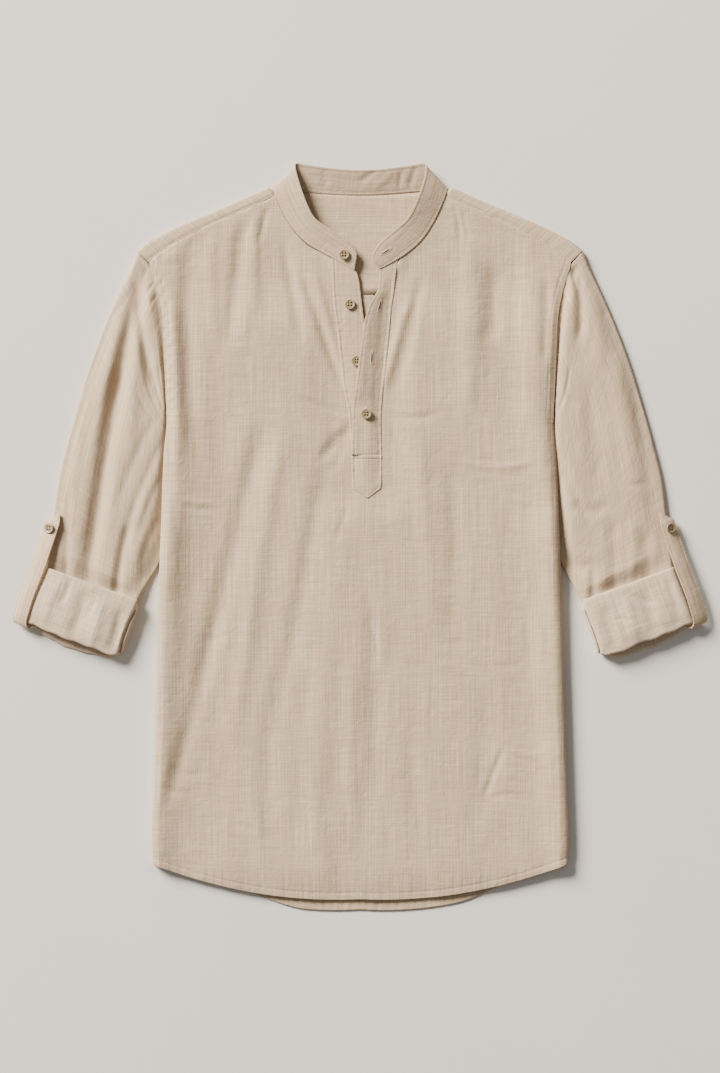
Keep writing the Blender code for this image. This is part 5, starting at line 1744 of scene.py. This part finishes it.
# %% Button places
TAB_BUTTON_DOWN = -40.0
BUTTON_STAND = 0.9       # length of the thread shank
button_places = [("button_collar", np.array([-17.4, 309.6, 8.75]), 0.0),
                 ("button_placket_1", np.array([-11.0, 255.2, 6.4]), 0.0),
                 ("button_placket_2", np.array([-3.7, 193.0, 6.3]), 0.0),
                 ("button_placket_3", np.array([7.0, 134.8, 7.7]), 0.0)]
going_down = TAB.dense["down"][:len(TAB.dense["down"]) // 2]
tab_row = int(np.argmin(np.abs(going_down - TAB_BUTTON_DOWN)))
out, up, tilt = (TAB.dense[name][tab_row] for name in ("out", "up", "tilt"))
clear = TAB_CROWN + 0.3 + BUTTON_STAND
for word, side in SIDES.items():
    spot = tab_place(side, out + clear * math.sin(math.radians(tilt)), TAB_BUTTON_DOWN,
                     up + clear * math.cos(math.radians(tilt)))
    button_places.append(("button_tab_" + word, spot, side * tilt))
print("buttons:", len(button_places))

# %% [markdown]
# ## Buttons: sewn on
# Each button is sewn with two parallel strands over its face and a thick shank under it. The seams'
# stitches are put aside first, because the button thread is another colour and so another mesh. Its
# near-black brown is partly the thread's own colour and partly painted shade down the buttons' holes.

# %% Place the buttons
STRAND_RADIUS = 0.16
SHANK_RADIUS = 0.8
shirt_thread = (thread_verts, thread_faces)
thread_verts, thread_faces = [], []
for name, spot, lean in button_places:
    turn = math.radians(lean)
    button = placed(name.replace("button_", "resin_button_"), button_disc)
    button.location = Vector(spot) * MM
    button.rotation_euler = (0.0, turn, 0.0)
    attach(button, ROOT)
    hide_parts(name)
    axes = np.array([[math.cos(turn), 0, -math.sin(turn)], [0, 1, 0], [math.sin(turn), 0, math.cos(turn)]])
    for sx in (-1, 1):
        low, high = (spot + np.array([sx * BUTTON_HOLE_OFFSET, sy * BUTTON_HOLE_OFFSET, 1.8]) @ axes
                     for sy in (-1, 1))
        add_thread(low, high, axes[2], STRAND_RADIUS, dip=0.6)
        # Thick dark shanks stand in the holes: real thread, and painted shade down each hole.
        for sy in (-1, 1):
            foot, head = (spot + np.array([sx * across, sy * across, height]) @ axes
                          for across, height in ((0.8, -1.5), (BUTTON_HOLE_OFFSET, 1.45)))
            add_thread(foot, head, axes[1], SHANK_RADIUS, dip=0.0)
button_thread_and_hole_shade = (thread_verts, thread_faces)
print("button thread faces:", len(thread_faces))

# %% [markdown]
# ## Threads and slits as pieces
# Thousands of single stitches would be slow as objects of their own, so the seams' threads, the button
# threads and the slits are joined into one mesh each. A slit is only the shadow inside a buttonhole: a
# sliver of the same linen, much darker.

# %% Join the threads and slits
def joined_piece(name, verts, faces, material):
    mesh = bpy.data.meshes.new(name)
    mesh.from_pydata([tuple(v) for v in (np.array(verts) * MM).tolist()], [], faces)
    mesh.shade_smooth()
    mesh.materials.append(material)
    piece = placed(name, mesh)
    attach(piece, ROOT)
    print(name, "faces:", len(faces))


# Painted shadow inside the slits: the same linen, much darker.
SLIT_SHADOW = woven_linen("painted_slit_shadow", mid="#3C2F23", pale="#4A3B2D", dark="#2E241A")
joined_piece("topstitching", *shirt_thread, THREAD)
joined_piece("button_threads_and_hole_shade", *button_thread_and_hole_shade, BUTTON_THREAD_AND_HOLE_SHADE)
joined_piece("buttonhole_slit_shadows", slit_shadow_verts, slit_shadow_faces, SLIT_SHADOW)

# %% [markdown]
# ## The size of each piece
# Every piece prints the area of its cloth's middle surface and the size of its box along x, y and z. A
# tube's area is counted all round.

for name, piece in pieces.items():
    print(name, "area m2:", round(sum(face.area for face in piece.data.polygons), 4),
          "size:", [round(v, 3) for v in piece.dimensions])
